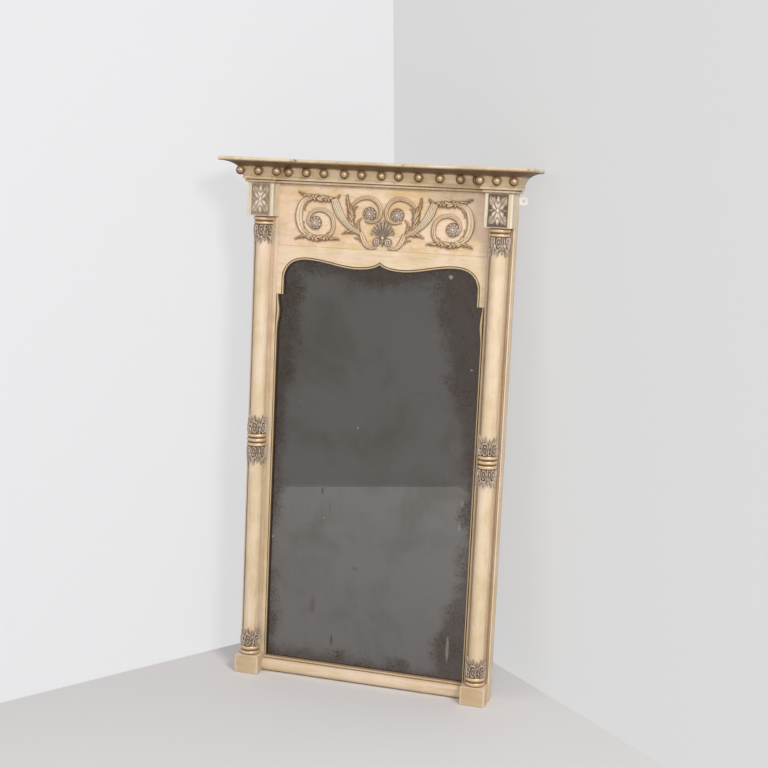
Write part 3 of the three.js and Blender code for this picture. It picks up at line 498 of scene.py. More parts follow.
def oldMirrorFinish():
    # dim silvering that is brown and dull at its edges. At each edge the mask is 1 where the distance
    # to it, made uneven by two noises, is less than that edge's width. A width that changes is given in
    # metres as (from, to, width there, width here), along z or, at the top, away from the middle.
    # A mark or stain is an ellipse: (x, z, half width, half height, strength)
    settings = {"left": -238, "right": 238, "bottom": 37, "top": 975, "silver": srgb(131, 129, 127),
                "smoke": srgb(116, 113, 108), "tarnish": srgb(91, 80, 73), "specks": srgb(190, 185, 176),
                "leftWide": (0.35, 0.85, 0.01, 0.044), "rightUpper": (0.42, 0.98, 0.014, 0.1),
                "rightLower": (0.32, 0.1, 0.0, 0.052), "topWide": (0.0, 0.16, 0.05, 0.024),
                "bottomWide": 0.014,
                "marks": [(163, 957, 6, 5, 0.5), (-37, 601, 1.6, 3, 1.0), (-109, 383, 1.5, 2.6, 1.0),
                          (216, 450, 5, 9, 0.3), (199, 108, 4, 34, 0.4), (-234, 324, 3, 2, 0.9),
                          (221, 754, 3, 2, 0.6), (212, 395, 3, 9, 0.3)],
                "stains": [(-116, 446, 3.5, 12, 0.9), (-80, 92, 4, 17, 0.8), (-96, 410, 2, 26, 0.4),
                           (-130, 170, 9, 30, 0.35), (-30, 270, 9, 8, 0.3)]}
    s = settings
    tree, shader, place = newMaterial("oldMirror")
    cut = addNode(tree, "ShaderNodeSeparateXYZ", {0: place}).outputs
    left, right, bottom, top = (s[edge] * toMetres for edge in ("left", "right", "bottom", "top"))
    side = {"left": minus(tree, cut[0], left), "right": minus(tree, right, cut[0]),
            "top": minus(tree, top, cut[2]), "bottom": minus(tree, cut[2], bottom)}
    upper, lower = remap(tree, cut[2], *s["rightUpper"]), remap(tree, cut[2], *s["rightLower"])
    fromMiddle = calc(tree, "ABSOLUTE", cut[0], 0.0)
    wide = {"left": remap(tree, cut[2], *s["leftWide"]), "right": plus(tree, upper, lower),
            "top": remap(tree, fromMiddle, *s["topWide"]), "bottom": s["bottomWide"]}
    cloud = minus(tree, noise(tree, place, 14, 6, 0.65, 0.4), 0.5)
    grit = minus(tree, noise(tree, place, 210, 5, 0.75), 0.5)
    broken = plus(tree, times(tree, cloud, 0.09), times(tree, grit, 0.05))
    mask = None
    for name, away in side.items():
        reach = minus(tree, plus(tree, away, broken), wide[name])
        part = remap(tree, reach, 0.02, -0.016)
        mask = part if mask is None else larger(tree, mask, part)
    smoke = remap(tree, noise(tree, place, 6, 4, 0.6, 0.5), 0.4, 0.7, 0.0, 0.8)
    colour = blendColour(tree, smoke, s["silver"], s["smoke"])
    scratch = noise(tree, stretched(tree, place, (1, 1, 0.03)), 620, 2, 0.5)
    colour = blendColour(tree, remap(tree, scratch, 0.6, 0.75, 0.0, 0.16), colour, s["specks"])
    mottled = plus(tree, times(tree, grit, 1.4), times(tree, cloud, 0.8))
    spots = remap(tree, mottled, 0.16, 0.36, 0.0, 0.3)
    mask = larger(tree, times(tree, mask, remap(tree, mottled, -0.3, 0.12, 1.0, 0.6)), spots)
    colour = blendColour(tree, mask, colour, s["tarnish"])
    pale = remap(tree, noise(tree, place, 330, 2, 0.5), 0.755, 0.78, 0.0, 0.7)
    dark = None
    for kind in ("marks", "stains"):
        for x, z, halfWide, halfHigh, strength in s[kind]:
            moved = vectorCalc(tree, "SUBTRACT", place, (x * toMetres, 0, z * toMetres))[0]
            squeezed = stretched(tree, moved, (1 / (halfWide * toMetres), 0, 1 / (halfHigh * toMetres)))
            far = vectorCalc(tree, "LENGTH", squeezed)["Value"]
            far = plus(tree, far, times(tree, grit, 1.6))
            spot = remap(tree, far, 1.0, 0.7 if kind == "marks" else 0.2, 0.0, strength)
            if kind == "marks":
                pale = larger(tree, pale, spot)
            else:
                dark = spot if dark is None else larger(tree, dark, spot)
    colour = blendColour(tree, dark, colour, s["tarnish"])
    colour = blendColour(tree, pale, colour, s["specks"])
    tree.links.new(colour, shader.inputs["Base Color"])
    rough = plus(tree, remap(tree, mask, 0.0, 1.0, 0.015, 0.3), times(tree, pale, 0.4))
    tree.links.new(rough, shader.inputs["Roughness"])
    shader.inputs["Metallic"].default_value = 0.92


oldMirrorFinish()


def ironFinish(name, colour, rust, metal, roughness):
    # flat colour with brown rust where a coarse noise is high
    tree, shader, place = newMaterial(name)
    spots = remap(tree, noise(tree, place, 380, 4, 0.7), 0.52, 0.72)
    tree.links.new(blendColour(tree, spots, colour, rust), shader.inputs["Base Color"])
    tree.links.new(remap(tree, spots, 0, 1, roughness, 0.8), shader.inputs["Roughness"])
    shader.inputs["Metallic"].default_value = metal
    bump(tree, shader, spots, 0.3, 0.0003)


ironFinish("iron", srgb(96, 90, 84), srgb(92, 66, 48), 0.7, 0.45)
ironFinish("whitePaint", srgb(236, 233, 226), srgb(206, 198, 184), 0.0, 0.4)
print("finishes made:", len(finishes))


# ---- stiles and boards ----

def stileShell(shaded):
    # the solid's section, its face split into strips so that paint can wear along its edges.
    # Relief is 0.5 less dark * share * exp(-distance / reach) for each line beside the column, given
    # as (x from its middle, reach, share), and a little more on the edge that is worn; shaded is how
    # much painted shadow of the column lies on the strip between glass and column
    settings = {"arris": 0.8, "step": 16.0, "strips": 14, "dark": 0.42, "worn": 0.22,
                "lines": [(21, 5, 1.0), (-18, 2.5, 0.8), (-25, 7, shaded)]}
    arris = settings["arris"]
    x0, x1, top = stileLow[0], stileHigh[0], stileHigh[2]
    rebateX, lip = extent("mirror_plate")[1][0] + 2 * seam, slipHigh[1]
    front = np.linspace(x0 + arris, x1 - 0.2, settings["strips"])
    section = np.vstack([[[x0, lip]], [[x0, arris]], np.stack([front, np.zeros(len(front))], 1),
                         [[x1, 0.2]], [[x1, backY]], [[rebateX, backY]], [[rebateX, lip]]])
    levels = np.linspace(0, top, int(top / settings["step"]))
    across = section[:, 0] - columnX
    dark = sum(share * np.exp(-np.abs(across - x) / reach) for x, reach, share in settings["lines"])
    worn = (np.abs(section[:, 0] - x0) < 2 * arris) * settings["worn"]
    relief = np.clip(0.5 - settings["dark"] * dark + worn, 0, 1)
    return loft(upright(section, levels), relief[None])


# the right jamb takes the column's painted shadow, the left one almost none
addPiece("right_jamb", stileShell(0.9), "creamPaintUpright", ["right_stile"])
addPiece("left_jamb", flipped(stileShell(0.1)), "creamPaintUpright", ["left_stile"])


def edgeShell():
    # a thin strip up the side, with a rounded nose between base and die block
    x0, x1, top = edgeLow[0], edgeHigh[0], edgeHigh[2]
    noseLow, noseHigh = baseHigh[2] + seam, dieLow[2] - seam
    nose = arc(((x0 + x1) / 2, 0), ((x1 - x0) / 2, -edgeLow[1]), 180, 360, 9)
    flat = np.stack([nose[:, 0], np.zeros(9)], 1)
    back = np.array([[x1, backY * 0.5], [x1, backY], [x0, backY]])
    levels = np.hstack([0, noseLow - 0.01, np.linspace(noseLow, noseHigh, 60), noseHigh + 0.01, top])
    inNose = ((levels >= noseLow) & (levels <= noseHigh))[:, None, None]
    section = np.where(inNose, np.vstack([nose, back])[None], np.vstack([flat, back])[None])
    relief = np.array([0.05, 0.3, 0.6, 0.8, 0.9, 0.8, 0.6, 0.35, 0.3, 0.42, 0.3, 0.3])
    return loft(upright(section, levels), relief[None])


bothSides("side_strip", edgeShell(), "creamPaintUpright", ["edge_moulding"])


# ---- the opening: slips, arch and sill ----

opening = {"quirk": 895.0, "archFoot": 225.5, "straight": 40.0, "shoulder": 975.5, "shoulderX": 172.5,
           "dip": 960.5, "dipX": 54.0, "cusp": 973.0, "swell": 5.0, "waist": 855.0, "waistHalf": 42.0,
           "steps": 110}


def bezier(points, count):
    # sum of the Bernstein weights times the control points
    t = np.linspace(0, 1, count)[:, None]
    degree = len(points) - 1
    return sum(math.comb(degree, i) * (1 - t) ** (degree - i) * t ** i * np.array(p, float)
               for i, p in enumerate(points))


def halfArch():
    # from the foot above the quirk, over the shoulder and the dip, up to the cusp in the middle:
    # a straight piece and three Bezier curves, each starting where the last one ends
    o = opening
    foot, high, low, cusp = o["archFoot"], o["shoulder"], o["dip"], o["cusp"]
    third = (o["shoulderX"] - o["dipX"]) / 3
    bend, shoulder, dip = [foot, o["quirk"] + o["straight"]], [o["shoulderX"], high], [o["dipX"], low]
    parts = [[[foot, o["quirk"] + seam], bend],
             [bend, [foot - 6, high], shoulder],
             [shoulder, [o["shoulderX"] - third, high], [o["dipX"] + third, low], dip],
             [dip, [o["dipX"] * 0.65, low], [o["dipX"] * 0.22, low + (cusp - low) * 0.25], [0, cusp]]]
    curve = np.vstack([bezier(part, 40)[(i > 0):] for i, part in enumerate(parts)])
    return evenly(curve, o["steps"])


def movedOut(line, distances):
    # each point moved into the wood by each distance; at the cusp the moved line runs on to x = 0
    ahead = np.gradient(line, axis=0)
    ahead /= np.linalg.norm(ahead, axis=1)[:, None]
    ahead[-1] = (line[-1] - line[-2]) / np.linalg.norm(line[-1] - line[-2])
    normal = np.stack([ahead[:, 1], -ahead[:, 0]], 1)
    moved = line[:, None] + normal[:, None] * np.asarray(distances)[None, :, None]
    slide = -moved[-1, :, 0] / ahead[-1, 0]
    moved[-1] += ahead[-1] * slide[:, None]
    return moved


def sightSection(width):
    # distance from the glass edge into the wood, and y: step, round bead, quirk
    bead = arc((width * 0.5, 0.35), (width * 0.29, 1.35), 180, 360, 9)
    points = np.vstack([[[0, slipHigh[1]], [0, 3.0], [width * 0.1, 1.6]], bead,
                        [[width * 0.86, 0.9], [width - 0.05, 0.1], [width - 0.05, slipHigh[1]]]])
    relief = np.array([0.0, 0.02, 0.1, 0.35, 0.6, 0.8, 0.95, 1, 0.95, 0.8, 0.55, 0.25, 0.02, 0.3, 0.3])
    return points, relief


def archShell():
    # the bead's section carried along the half arch, and mirrored for the other half
    width = stileLow[0] - slipLow[0] - opening["swell"]
    points, relief = sightSection(width)
    half = movedOut(halfArch(), points[:, 0])
    whole = np.concatenate([half, (half * [-1, 1])[::-1][1:]])
    rings = np.dstack([whole[..., 0], np.broadcast_to(points[:, 1], whole.shape[:2]), whole[..., 1]])
    return loft(rings, relief[None])


addPiece("arch_moulding", archShell(), "sightGiltLevel", ["arch_bead"])


def slipShell():
    # the same section, upright; beside the waist its inner edge draws back by
    # swell * (1 - cos) / 2, so that it swells inwards at the waist
    o = opening
    levels = np.linspace(slipLow[2], slipHigh[2], 120)
    turn = np.clip((levels - o["waist"]) / o["waistHalf"], -1, 1) * math.pi
    inner = slipLow[0] + o["swell"] * (1 - np.cos(turn)) / 2
    points, relief = sightSection(1.0)
    across = inner[:, None] + (stileLow[0] - seam - inner)[:, None] * points[None, :, 0]
    section = np.dstack([across, np.broadcast_to(points[:, 1], across.shape)])
    return loft(upright(section, levels), relief[None])


bothSides("sight_bead", slipShell(), "sightGiltUpright", ["sight_slip"])


def archPanelShell():
    # the lower line runs up the foot and along the arch, the upper one along the frieze;
    # the panel's face is the straight lines between them
    width = stileLow[0] - slipLow[0] - opening["swell"] + seam
    half = movedOut(halfArch(), [width])[:, 0]
    side, foot, top = stileLow[0] - seam, opening["quirk"] + seam, friezeLow[2] - seam
    half[0] = [half[0, 0], foot]
    outer = np.stack([np.linspace(side, half[0, 0], 5)[:-1], np.full(4, foot)], 1)
    lower = np.vstack([outer, half])
    lower = np.vstack([lower, (lower * [-1, 1])[::-1][1:]])
    upperX = np.interp(np.arange(len(lower)), [0, len(lower) - 1], [side, -side])
    upper = np.stack([upperX * 0.35 + lower[:, 0] * 0.65, np.full(len(lower), top)], 1)
    upper[[0, -1], 0] = [side, -side]
    share = np.hstack([0, 0.01, 0.03, np.linspace(0.06, 0.97, 14), 1])
    face = lower[:, None] * (1 - share)[None, :, None] + upper[:, None] * share[None, :, None]
    depth = np.zeros(face.shape[:2])
    depth[:, 0] = 0.8
    depth[:, -1] = 0.25
    back = np.stack([upper, lower], 1)
    xz = np.concatenate([face, back], 1)
    y = np.concatenate([depth, np.full((len(lower), 2), slipHigh[1])], 1)
    relief = np.full(xz.shape[:2], 0.5)
    relief[:, 0] = 0.12
    relief[:, 1] = 0.8
    relief[:, -3] = 0.34
    return loft(np.dstack([xz[..., 0], y, xz[..., 1]]), relief)


addPiece("arch_board", archPanelShell(), "creamPaintLevel", ["arch_panel"])


def shadeRoundBalls(rings, relief):
    # painted shade round the top of each ball, where ball and cornice shut out the light: relief is
    # less amount * exp(-(distance / reach)^2), on surfaces within "near" of the ball's seat
    settings = {"amount": 0.5, "reach": 9.0, "belowTop": 6.0, "near": 16.0}
    s = settings
    balls = [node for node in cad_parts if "cornice_ball" in node]
    for node in balls:
        lo, hi = extent(node)
        x, z = (lo[0] + hi[0]) / 2, hi[2] - s["belowTop"]
        away = np.hypot(rings[..., 0] - x, 1.3 * (rings[..., 2] - z))
        near = np.abs(rings[..., 1] - hi[1]) < s["near"]
        relief = relief - s["amount"] * np.exp(-(away / s["reach"]) ** 2) * near
    return np.clip(relief, 0.02, 1)


def runAcross(section, x0, x1, relief, step=9.0, sway=0.0, wave=140.0):
    # a section of (y, z) points run from x0 to x1; what stands proud of the boards sways
    # in y by a slow hand-planed unevenness
    section = np.asarray(section, float)
    count = max(2, int((x1 - x0) / step))
    xs = np.linspace(x0, x1, count)
    rings = np.stack([np.repeat(xs[:, None], len(section), 1), np.repeat(section[None, :, 0], count, 0),
                      np.repeat(section[None, :, 1], count, 0)], -1)
    rings[..., 1] += sway * unevenness(rings, wave) * (rings[..., 1] < -0.5)
    return loft(rings, shadeRoundBalls(rings, np.asarray(relief)[None]))


def sillShells():
    # the bottom rail as three closed strips: its half-round front, its edge bead, and the board behind
    settings = {"roundLow": 1.0, "roundHigh": 30.0, "bulge": 13.0, "beadHigh": 6.0, "lift": 3.0}
    s, front = settings, stileLow[0] - seam
    middle, radius = (s["roundLow"] + s["roundHigh"]) / 2, (s["roundHigh"] - s["roundLow"]) / 2
    curve = arc((seam, middle), (s["bulge"] - 0.3, radius), 270, 90, 21)
    # the round is darker on its lower part and lightest on its upper front: painted shade and a painted
    # highlight; it darkens again where it meets the bead
    roundRelief = np.interp(np.arange(21), [0, 3, 8, 15, 18, 20], [0.1, 0.34, 0.48, 0.7, 0.5, 0.05])
    top, beadLow = railHigh[2], railHigh[2] - s["beadHigh"]
    nose = arc((0.4, beadLow + 2.9), (1.35, 2.5), 270, 90, 9)
    bead = np.vstack([[[2, beadLow + 0.2]], nose, [[2.2, top - 0.4], [2.4, top]],
                      [[slipHigh[1], top], [slipHigh[1], beadLow]]])
    # the bead is kept low all over: painted shade, as it sits back behind the round
    beadRelief = [0.02, 0.06, 0.14, 0.2, 0.25, 0.3, 0.3, 0.26, 0.2, 0.1, 0.05, 0.02, 0.2, 0.2]
    glassFront, railBack = slipHigh[1] + seam, railHigh[1]
    glassBottom = extent("mirror_plate")[0][2] - seam
    board = [[0, s["lift"]], [0, s["roundHigh"] + 0.4], [0, beadLow + 0.4], [glassFront, beadLow + 0.4],
             [glassFront, glassBottom], [railBack, glassBottom], [railBack, s["lift"]]]
    boardRelief = [0.1, 0.05, 0.05, 0.3, 0.3, 0.3, 0.3]
    return {"sill_round": runAcross(curve, -front, front, roundRelief, sway=0.35),
            "sill_bead": runAcross(bead, -front, front, beadRelief),
            "sill_board": runAcross(board, -front, front, boardRelief)}


for name, shell in sillShells().items():
    standsFor = ["bottom_rail"] if name == "sill_round" else ()
    addPiece(name, shell, "creamPaintLevel", standsFor)
print("frame and opening built")


# ---- columns ----

column = {"shaft": 17.0, "roll": 23.0, "groove": 19.4, "lip": 20.3, "seat": 19.8, "footHigh": 22.5,
          "middleHigh": 32.0, "neckHigh": 20.0, "neckRingHigh": 9.0, "leafLong": 43.0}
columnY = -column["shaft"]
footLow = baseHigh[2] + seam
footHigh = footLow + column["footHigh"]
middleLow = (footLow + dieLow[2] - column["middleHigh"]) / 2
middleHigh = middleLow + column["middleHigh"]
neckLow = dieLow[2] - column["neckHigh"]


def rollProfile(low, high, radii, fillet=1.1):
    # half circles one above the other, each between two narrow square fillets
    groove, lip, seat = column["groove"], column["lip"], column["seat"]
    pitch = (high - low) / len(radii)
    profile, relief = [], []
    for i, radius in enumerate(radii):
        foot, top = low + i * pitch, low + (i + 1) * pitch
        roll = arc((seat, foot + pitch / 2), (radius - seat, pitch / 2 - fillet), -90, 90, 13)
        profile += [[[groove, foot + 0.02], [lip, foot + 0.1], [lip, foot + fillet - 0.2]], roll,
                    [[lip, top - fillet + 0.2], [lip, top - 0.1]]]
        relief += [0.0, 0.3, 0.1, *(0.15 + 0.8 * np.sin(np.linspace(0, math.pi, 13)) ** 0.7), 0.1, 0.3]
    return np.vstack(profile), relief


def rollStack(low, high, radii):
    # the rolls turned about the column's axis and pressed flat where they meet the boards
    profile, relief = rollProfile(low, high, radii)
    profile = np.vstack([[[0.5, low]], profile, [[0.5, high]]])
    amount = np.array([0.1, *relief, 0.1])
    return loft(flatBack(turned(profile, columnX, columnY, 72)), amount[:, None])


def shaftShell():
    # a plain cylinder that swells and shrinks a little, as a hand-turned one does;
    # relief is lower beside the middle rolls and where the shaft meets the boards
    settings = {"rows": 110, "sides": 64, "sway": 0.22, "wave": 190}
    s = settings
    levels = np.linspace(footHigh - 1, neckLow + 1, s["rows"])
    profile = np.stack([np.full(s["rows"], column["shaft"]), levels], 1)
    rings = turned(profile, columnX, columnY, s["sides"])
    away = rings - np.array([columnX, columnY, 0])
    away[..., 2] = 0
    rings += away / column["shaft"] * (s["sway"] * unevenness(rings, s["wave"]))[..., None]
    relief = 0.5 - 0.3 * np.exp(-np.minimum(np.abs(levels - middleLow), np.abs(levels - middleHigh)) / 3)
    return loft(flatBack(rings), relief[:, None] - 0.25 * (rings[..., 1] > -4))


roll = column["roll"]
neckSplit = neckLow + column["neckRingHigh"]
bothSides("shaft", shaftShell(), "creamPaintUpright", ["column"])
bothSides("foot_rolls", rollStack(footLow, footHigh, [roll, roll]), "dullGilt")
bothSides("middle_rolls", rollStack(middleLow, middleHigh, [roll, roll, roll]), "dullGilt")
bothSides("neck_ring", rollStack(neckLow, neckSplit, [roll - 0.4]), "dullGilt")
bothSides("neck_roll", rollStack(neckSplit, dieLow[2] - seam, [roll + 0.8]), "dullGilt")


def leafShell(root, direction, phase):
    # six leaves round the shaft. In each sector a runs across and h from root to tip: a broad arch with
    # a notched rim, a teardrop in it, a ribbed tip over it, and a lower leaf between neighbours;
    # radius = belly curve + carved * the highest of these - recess. Widths are shares of a sector and
    # heights of a leaf: arch (half width, height, rim), drop (half width, middle, half height, rim),
    # tip and between (half width, where it starts)
    settings = {"leaves": 6, "samples": 60, "rows": 50, "bore": column["shaft"] + seam,
                "long": column["leafLong"], "carved": 3.0, "recess": 1.0, "flare": 1.4,
                "belly": [20.9, 21.6, 21.8, 20.4, 20.2], "bellyAt": [0, 0.1, 0.45, 0.8, 1],
                "arch": (0.4, 0.6, 0.11), "drop": (0.22, 0.24, 0.22, 0.2), "tip": (0.2, 0.52),
                "between": (0.17, 0.3)}
    s = settings
    archHalf, archHigh, archEdge = s["arch"]
    dropHalf, dropAt, dropHigh, dropEdge = s["drop"]
    tipHalf, tipFrom = s["tip"]
    gapHalf, gapFrom = s["between"]
    turn = np.linspace(0, 2 * math.pi, s["leaves"] * s["samples"], endpoint=False) - math.pi / 2
    count = (turn + math.pi / 2) * s["leaves"] / (2 * math.pi) + 0.5 + 0.12 * math.sin(phase)
    a = (count % 1 - 0.5)[:, None]
    size = 1 + 0.05 * np.sin(np.floor(count) % s["leaves"] * 2.4 + phase)[:, None]
    gap = 0.5 - np.abs(a)
    top = np.maximum(1 - 0.34 * (np.abs(a) / 0.26) ** 1.4, 0.88 - 0.26 * (gap / 0.19) ** 1.3)
    rise = s["long"] * np.clip(top, 0.6, 1) * np.clip(size, 0, 1.0)
    v = np.linspace(0, 1, s["rows"])[None]
    h = v * rise / s["long"]
    notches = 1 + 0.06 * np.sin(30 * h + 9 * np.abs(a)) + 0.06 * np.sin(17 * a + phase)
    arch = np.hypot(a / archHalf, np.clip(h - 0.05, 0, 1) / archHigh) * notches
    archRim = np.exp(-((arch - 1) / archEdge) ** 2)
    sideways = a + 0.05 * math.sin(3 * phase)
    drop = np.hypot(sideways / (dropHalf * (1.15 - h)), (h - dropAt) / dropHigh)
    dropRim = np.exp(-((drop - 1) / dropEdge) ** 2) * (arch < 1)
    heart = np.sqrt(np.clip(1 - (drop / 0.5) ** 2, 0, 1))
    tipWide = tipHalf * np.clip(1.06 - h, 0.02, 1) ** 0.8
    tip = np.sqrt(np.clip(1 - (a / tipWide) ** 2, 0, 1)) * np.clip((h - tipFrom) / 0.1, 0, 1)
    tip *= 1 - 0.35 * np.exp(-(a / 0.03) ** 2)
    gapWide = gapHalf * np.clip(1.1 - 0.6 * h, 0.1, 1)
    between = np.sqrt(np.clip(1 - (gap / gapWide) ** 2, 0, 1)) * np.clip((h - gapFrom) / 0.12, 0, 1)
    between *= (1 - 0.4 * np.exp(-(gap / 0.028) ** 2)) * (arch > 0.95)
    ribs = 0.7 + 0.3 * np.sin(30 * h + 22 * np.abs(a) + phase)
    detail = np.max([archRim, dropRim * 0.8, heart * 0.75, tip * 0.9 * ribs, between * 0.8 * ribs], 0)
    flare = np.clip((v - 0.8) / 0.2, 0, 1) ** 1.5
    belly = np.interp(v, s["bellyAt"], s["belly"])
    rough = unevenness(np.stack([a * 17 + 0 * h, h * 43 + 0 * a, count[:, None] + 0 * h], -1), 5.5, phase)
    radius = belly + s["carved"] * detail - s["recess"] + s["flare"] * flare + 0.2 * rough
    relief = np.clip(0.04 + 0.98 * detail ** 1.2 + 0.14 * rough, 0, 1)
    relief = np.maximum(relief, 0.85 * flare)
    rings = np.stack([columnX + radius * np.cos(turn)[:, None], columnY + radius * np.sin(turn)[:, None],
                      root + direction * v * rise], -1)
    bore = np.stack([columnX + s["bore"] * np.cos(turn), columnY + s["bore"] * np.sin(turn)], 1)
    foot = np.dstack([bore[:, None], np.full((len(turn), 1, 1), root)])
    edge = np.dstack([bore[:, None], (root + direction * rise)[:, :, None]])
    whole = np.concatenate([foot, rings, edge], 1)
    amount = np.concatenate([np.full((len(turn), 1), 0.1), relief, np.full((len(turn), 1), 0.2)], 1)
    return loft(flatBack(whole), amount, closed=True)


collars = {"base_leaves": (footHigh + seam, 1), "mid_lower_leaves": (middleLow - seam, -1),
           "mid_upper_leaves": (middleHigh + seam, 1), "capital_leaves": (neckLow - seam, -1)}
for name, (root, direction) in collars.items():
    for side, turnOver in (("right", False), ("left", True)):
        shell = leafShell(root, direction, len(name) * 1.3 + turnOver)
        shell = flipped(shell) if turnOver else shell
        addPiece(f"{side}_carved_{name}", shell, "silverCarving", [f"{side}_{name}"], 60)
print("columns built")


# ---- base and die blocks ----

bothSides("plinth", block(baseLow, baseHigh, 1.6, 1.3), "plinthPaint", ["base_block"])
bothSides("die", block(dieLow, dieHigh, 1.3, 1.0), "diePaint", ["die_block"])


def leafHeight(x, z, root, angle, length, width, lobes=3.0, vein=0.35):
    # height of an acanthus leaf lying on a face, 0 outside it. In the leaf's own directions u runs from
    # root to tip and w across; the half width is a bulge times a row of lobes, and ribs part the lobes
    turn = math.radians(angle)
    dx, dz = x - root[0], z - root[1]
    u = (dx * math.sin(turn) + dz * math.cos(turn)) / length
    w = dx * math.cos(turn) - dz * math.sin(turn)
    inside = np.clip(u, 0, 1)
    bulge = np.sin(math.pi * inside ** 0.8) ** 0.7
    lobe = np.abs(np.sin(math.pi * (lobes * inside + 0.15)))
    half = width / 2 * bulge * (0.6 + 0.4 * lobe ** 0.7) + 1e-6
    t = np.clip(np.abs(w) / half, 0, 1)
    body = (1 - t ** 2) ** 0.5 * (u > 0) * (u < 1)
    ribs = 0.45 + 0.55 * np.abs(np.sin(math.pi * (lobes * inside + 0.15 - 0.55 * t))) ** 0.7
    arched = 0.6 + 0.4 * np.sin(math.pi * inside ** 0.6)
    return body * ribs * (1 - vein * np.exp(-(t / 0.16) ** 2)) * arched


def bossHeight(x, z, centre, radii):
    # half an ellipsoid
    return np.sqrt(np.clip(1 - ((x - centre[0]) / radii[0]) ** 2 - ((z - centre[1]) / radii[1]) ** 2, 0, 1))


def carvedPlate(x, z, height, relief, face, sunk):
    # a height field that stands forward of a face and reaches back behind it
    return backed(np.stack([x, face - height, z], -1), relief, face + sunk, 0.1)


def dieOrnamentShell(ground, contrast):
    # four acanthus leaves on the diagonals, a bud with two small leaves above and below, a small leaf
    # on each side, and a ringed boss; each (across, up, ...) place is measured from the middle.
    # Relief is the ground's plus contrast times the height, so one panel can be paler than the other
    settings = {"middle": 271.3, "halfWidth": 22.4, "halfHeight": 36.0, "relief": 4.2, "ground": 0.5,
                "leaf": (31, 36.5, 21.0), "bud": (23, 4.2, 8.5), "budLeaf": (5, 16, 17, 4.5),
                "sideLeaf": (10, 11, 6), "boss": (4.0, 5.2), "ring": (6.4, 7.6), "edge": 0.8}
    s = settings
    lean, leafLong, leafWide = s["leaf"]
    budUp, *budRadii = s["bud"]
    rootAcross, rootUp, rootLong, rootWide = s["budLeaf"]
    sideAcross, sideLong, sideWide = s["sideLeaf"]
    centre = (s["middle"], (dieLow[2] + dieHigh[2]) / 2)
    xs = centre[0] + np.linspace(-s["halfWidth"], s["halfWidth"], 130)
    zs = centre[1] + np.linspace(-s["halfHeight"], s["halfHeight"], 230)
    x, z = np.meshgrid(xs, zs)
    height = np.zeros_like(x)
    for angle in (lean, -lean, 180 - lean, lean - 180):
        height = np.maximum(height, leafHeight(x, z, centre, angle, leafLong, leafWide, 2, 0.7))
    for up in (1, -1):
        bud = (centre[0], centre[1] + up * budUp)
        height = np.maximum(height, 0.9 * bossHeight(x, z, bud, budRadii))
        for across in (1, -1):
            root = (centre[0] + across * rootAcross, centre[1] + up * rootUp)
            leaf = leafHeight(x, z, root, across * (90 - up * 72), rootLong, rootWide, 1)
            height = np.maximum(height, 0.6 * leaf)
    for across in (1, -1):
        root = (centre[0] + across * sideAcross, centre[1])
        height = np.maximum(height, 0.75 * leafHeight(x, z, root, across * 90, sideLong, sideWide, 1, 0.6))
    boss = bossHeight(x, z, centre, s["boss"])
    away = np.hypot((x - centre[0]) / s["ring"][0], (z - centre[1]) / s["ring"][1])
    ring = 0.6 * np.exp(-((away - 1) / 0.13) ** 2)
    total = np.max([height, 1.3 * boss, ring], 0)
    spots = np.stack([x, x * 0, z], -1)
    total = total + 0.07 * unevenness(spots, 4.2) + 0.05 * unevenness(spots, 2.1, 1.0)
    sideGap = s["halfWidth"] - np.abs(x - centre[0])
    endGap = s["halfHeight"] - np.abs(z - centre[1])
    inside = np.minimum(sideGap, endGap) / s["edge"]
    fade = np.clip(inside, 0, 1)
    relief = np.clip(ground + contrast * total + 0.34 * np.clip(1 - inside / 3, 0, 1), 0.0, 1)
    height = (s["ground"] + s["relief"] * np.clip(total, 0, 2)) * fade + 0.02
    return carvedPlate(x, z, height, relief, dieLow[1] - 0.05, 0.4)


for side, ground, contrast in (("right", 0.03, 1.0), ("left", 0.3, 0.7)):
    shell = dieOrnamentShell(ground, contrast)
    shell = flipped(shell) if side == "left" else shell
    addPiece(f"{side}_die_carving", shell, "silverCarving", [f"{side}_die_ornament"], 70)
print("blocks built")


# ---- cornice ----

cornice = {"beadHigh": 7.0, "lipHigh": 5.0, "lipReach": 10.0, "reach": 37.0, "proud": 5.0, "inside": -0.7,
           "noseFront": 10.5, "ball": 10.5}
underBoard = boardLow[2]


def coveSection():
    # (reach, height over the die block): half-round bead, quirk, square lip and a quarter-round hollow;
    # relief is highest on the lip and falls to almost nothing in the upper part of the hollow, painted
    # shade under the board; the bead is kept low, painted shade under the lip
    c = cornice
    lipLow, lipTop = c["beadHigh"], c["beadHigh"] + c["lipHigh"]
    rise = underBoard - seam - dieHigh[2] - lipTop
    bead = arc((2.6, 3.4), (3.0, 3.1), -90, 90, 9)
    hollow = np.radians(np.linspace(3, 90, 16))
    reach = c["lipReach"] - 0.9 + (c["reach"] + 0.9) * (1 - np.cos(hollow))
    curve = np.stack([reach, lipTop + rise * np.sin(hollow)], 1)
    lip = [[8.9, lipLow + 0.1], [9.7, lipLow + 0.7], [10, lipLow + 1.8], [9.9, lipTop - 1.3],
           [9.3, lipTop - 0.3]]
    first, quirk, last = [[c["inside"], seam]], [[3.4, lipLow]], [[c["inside"], curve[-1, 1]]]
    points = np.vstack([first, bead, quirk, lip, curve, last])
    beadRelief = [0.2, 0.26, 0.32, 0.36, 0.36, 0.32, 0.28, 0.24, 0.2]
    lipRelief = [0.25, 0.45, 0.6, 0.74, 0.66]
    hollowRelief = np.interp(np.arange(16), [0, 1, 3, 6, 7.4, 11, 15],
                             [0.3, 0.5, 0.62, 0.54, 0.1, 0.04, 0.2])
    return points, np.hstack([0.1, beadRelief, 0.2, lipRelief, hollowRelief, 0.1])


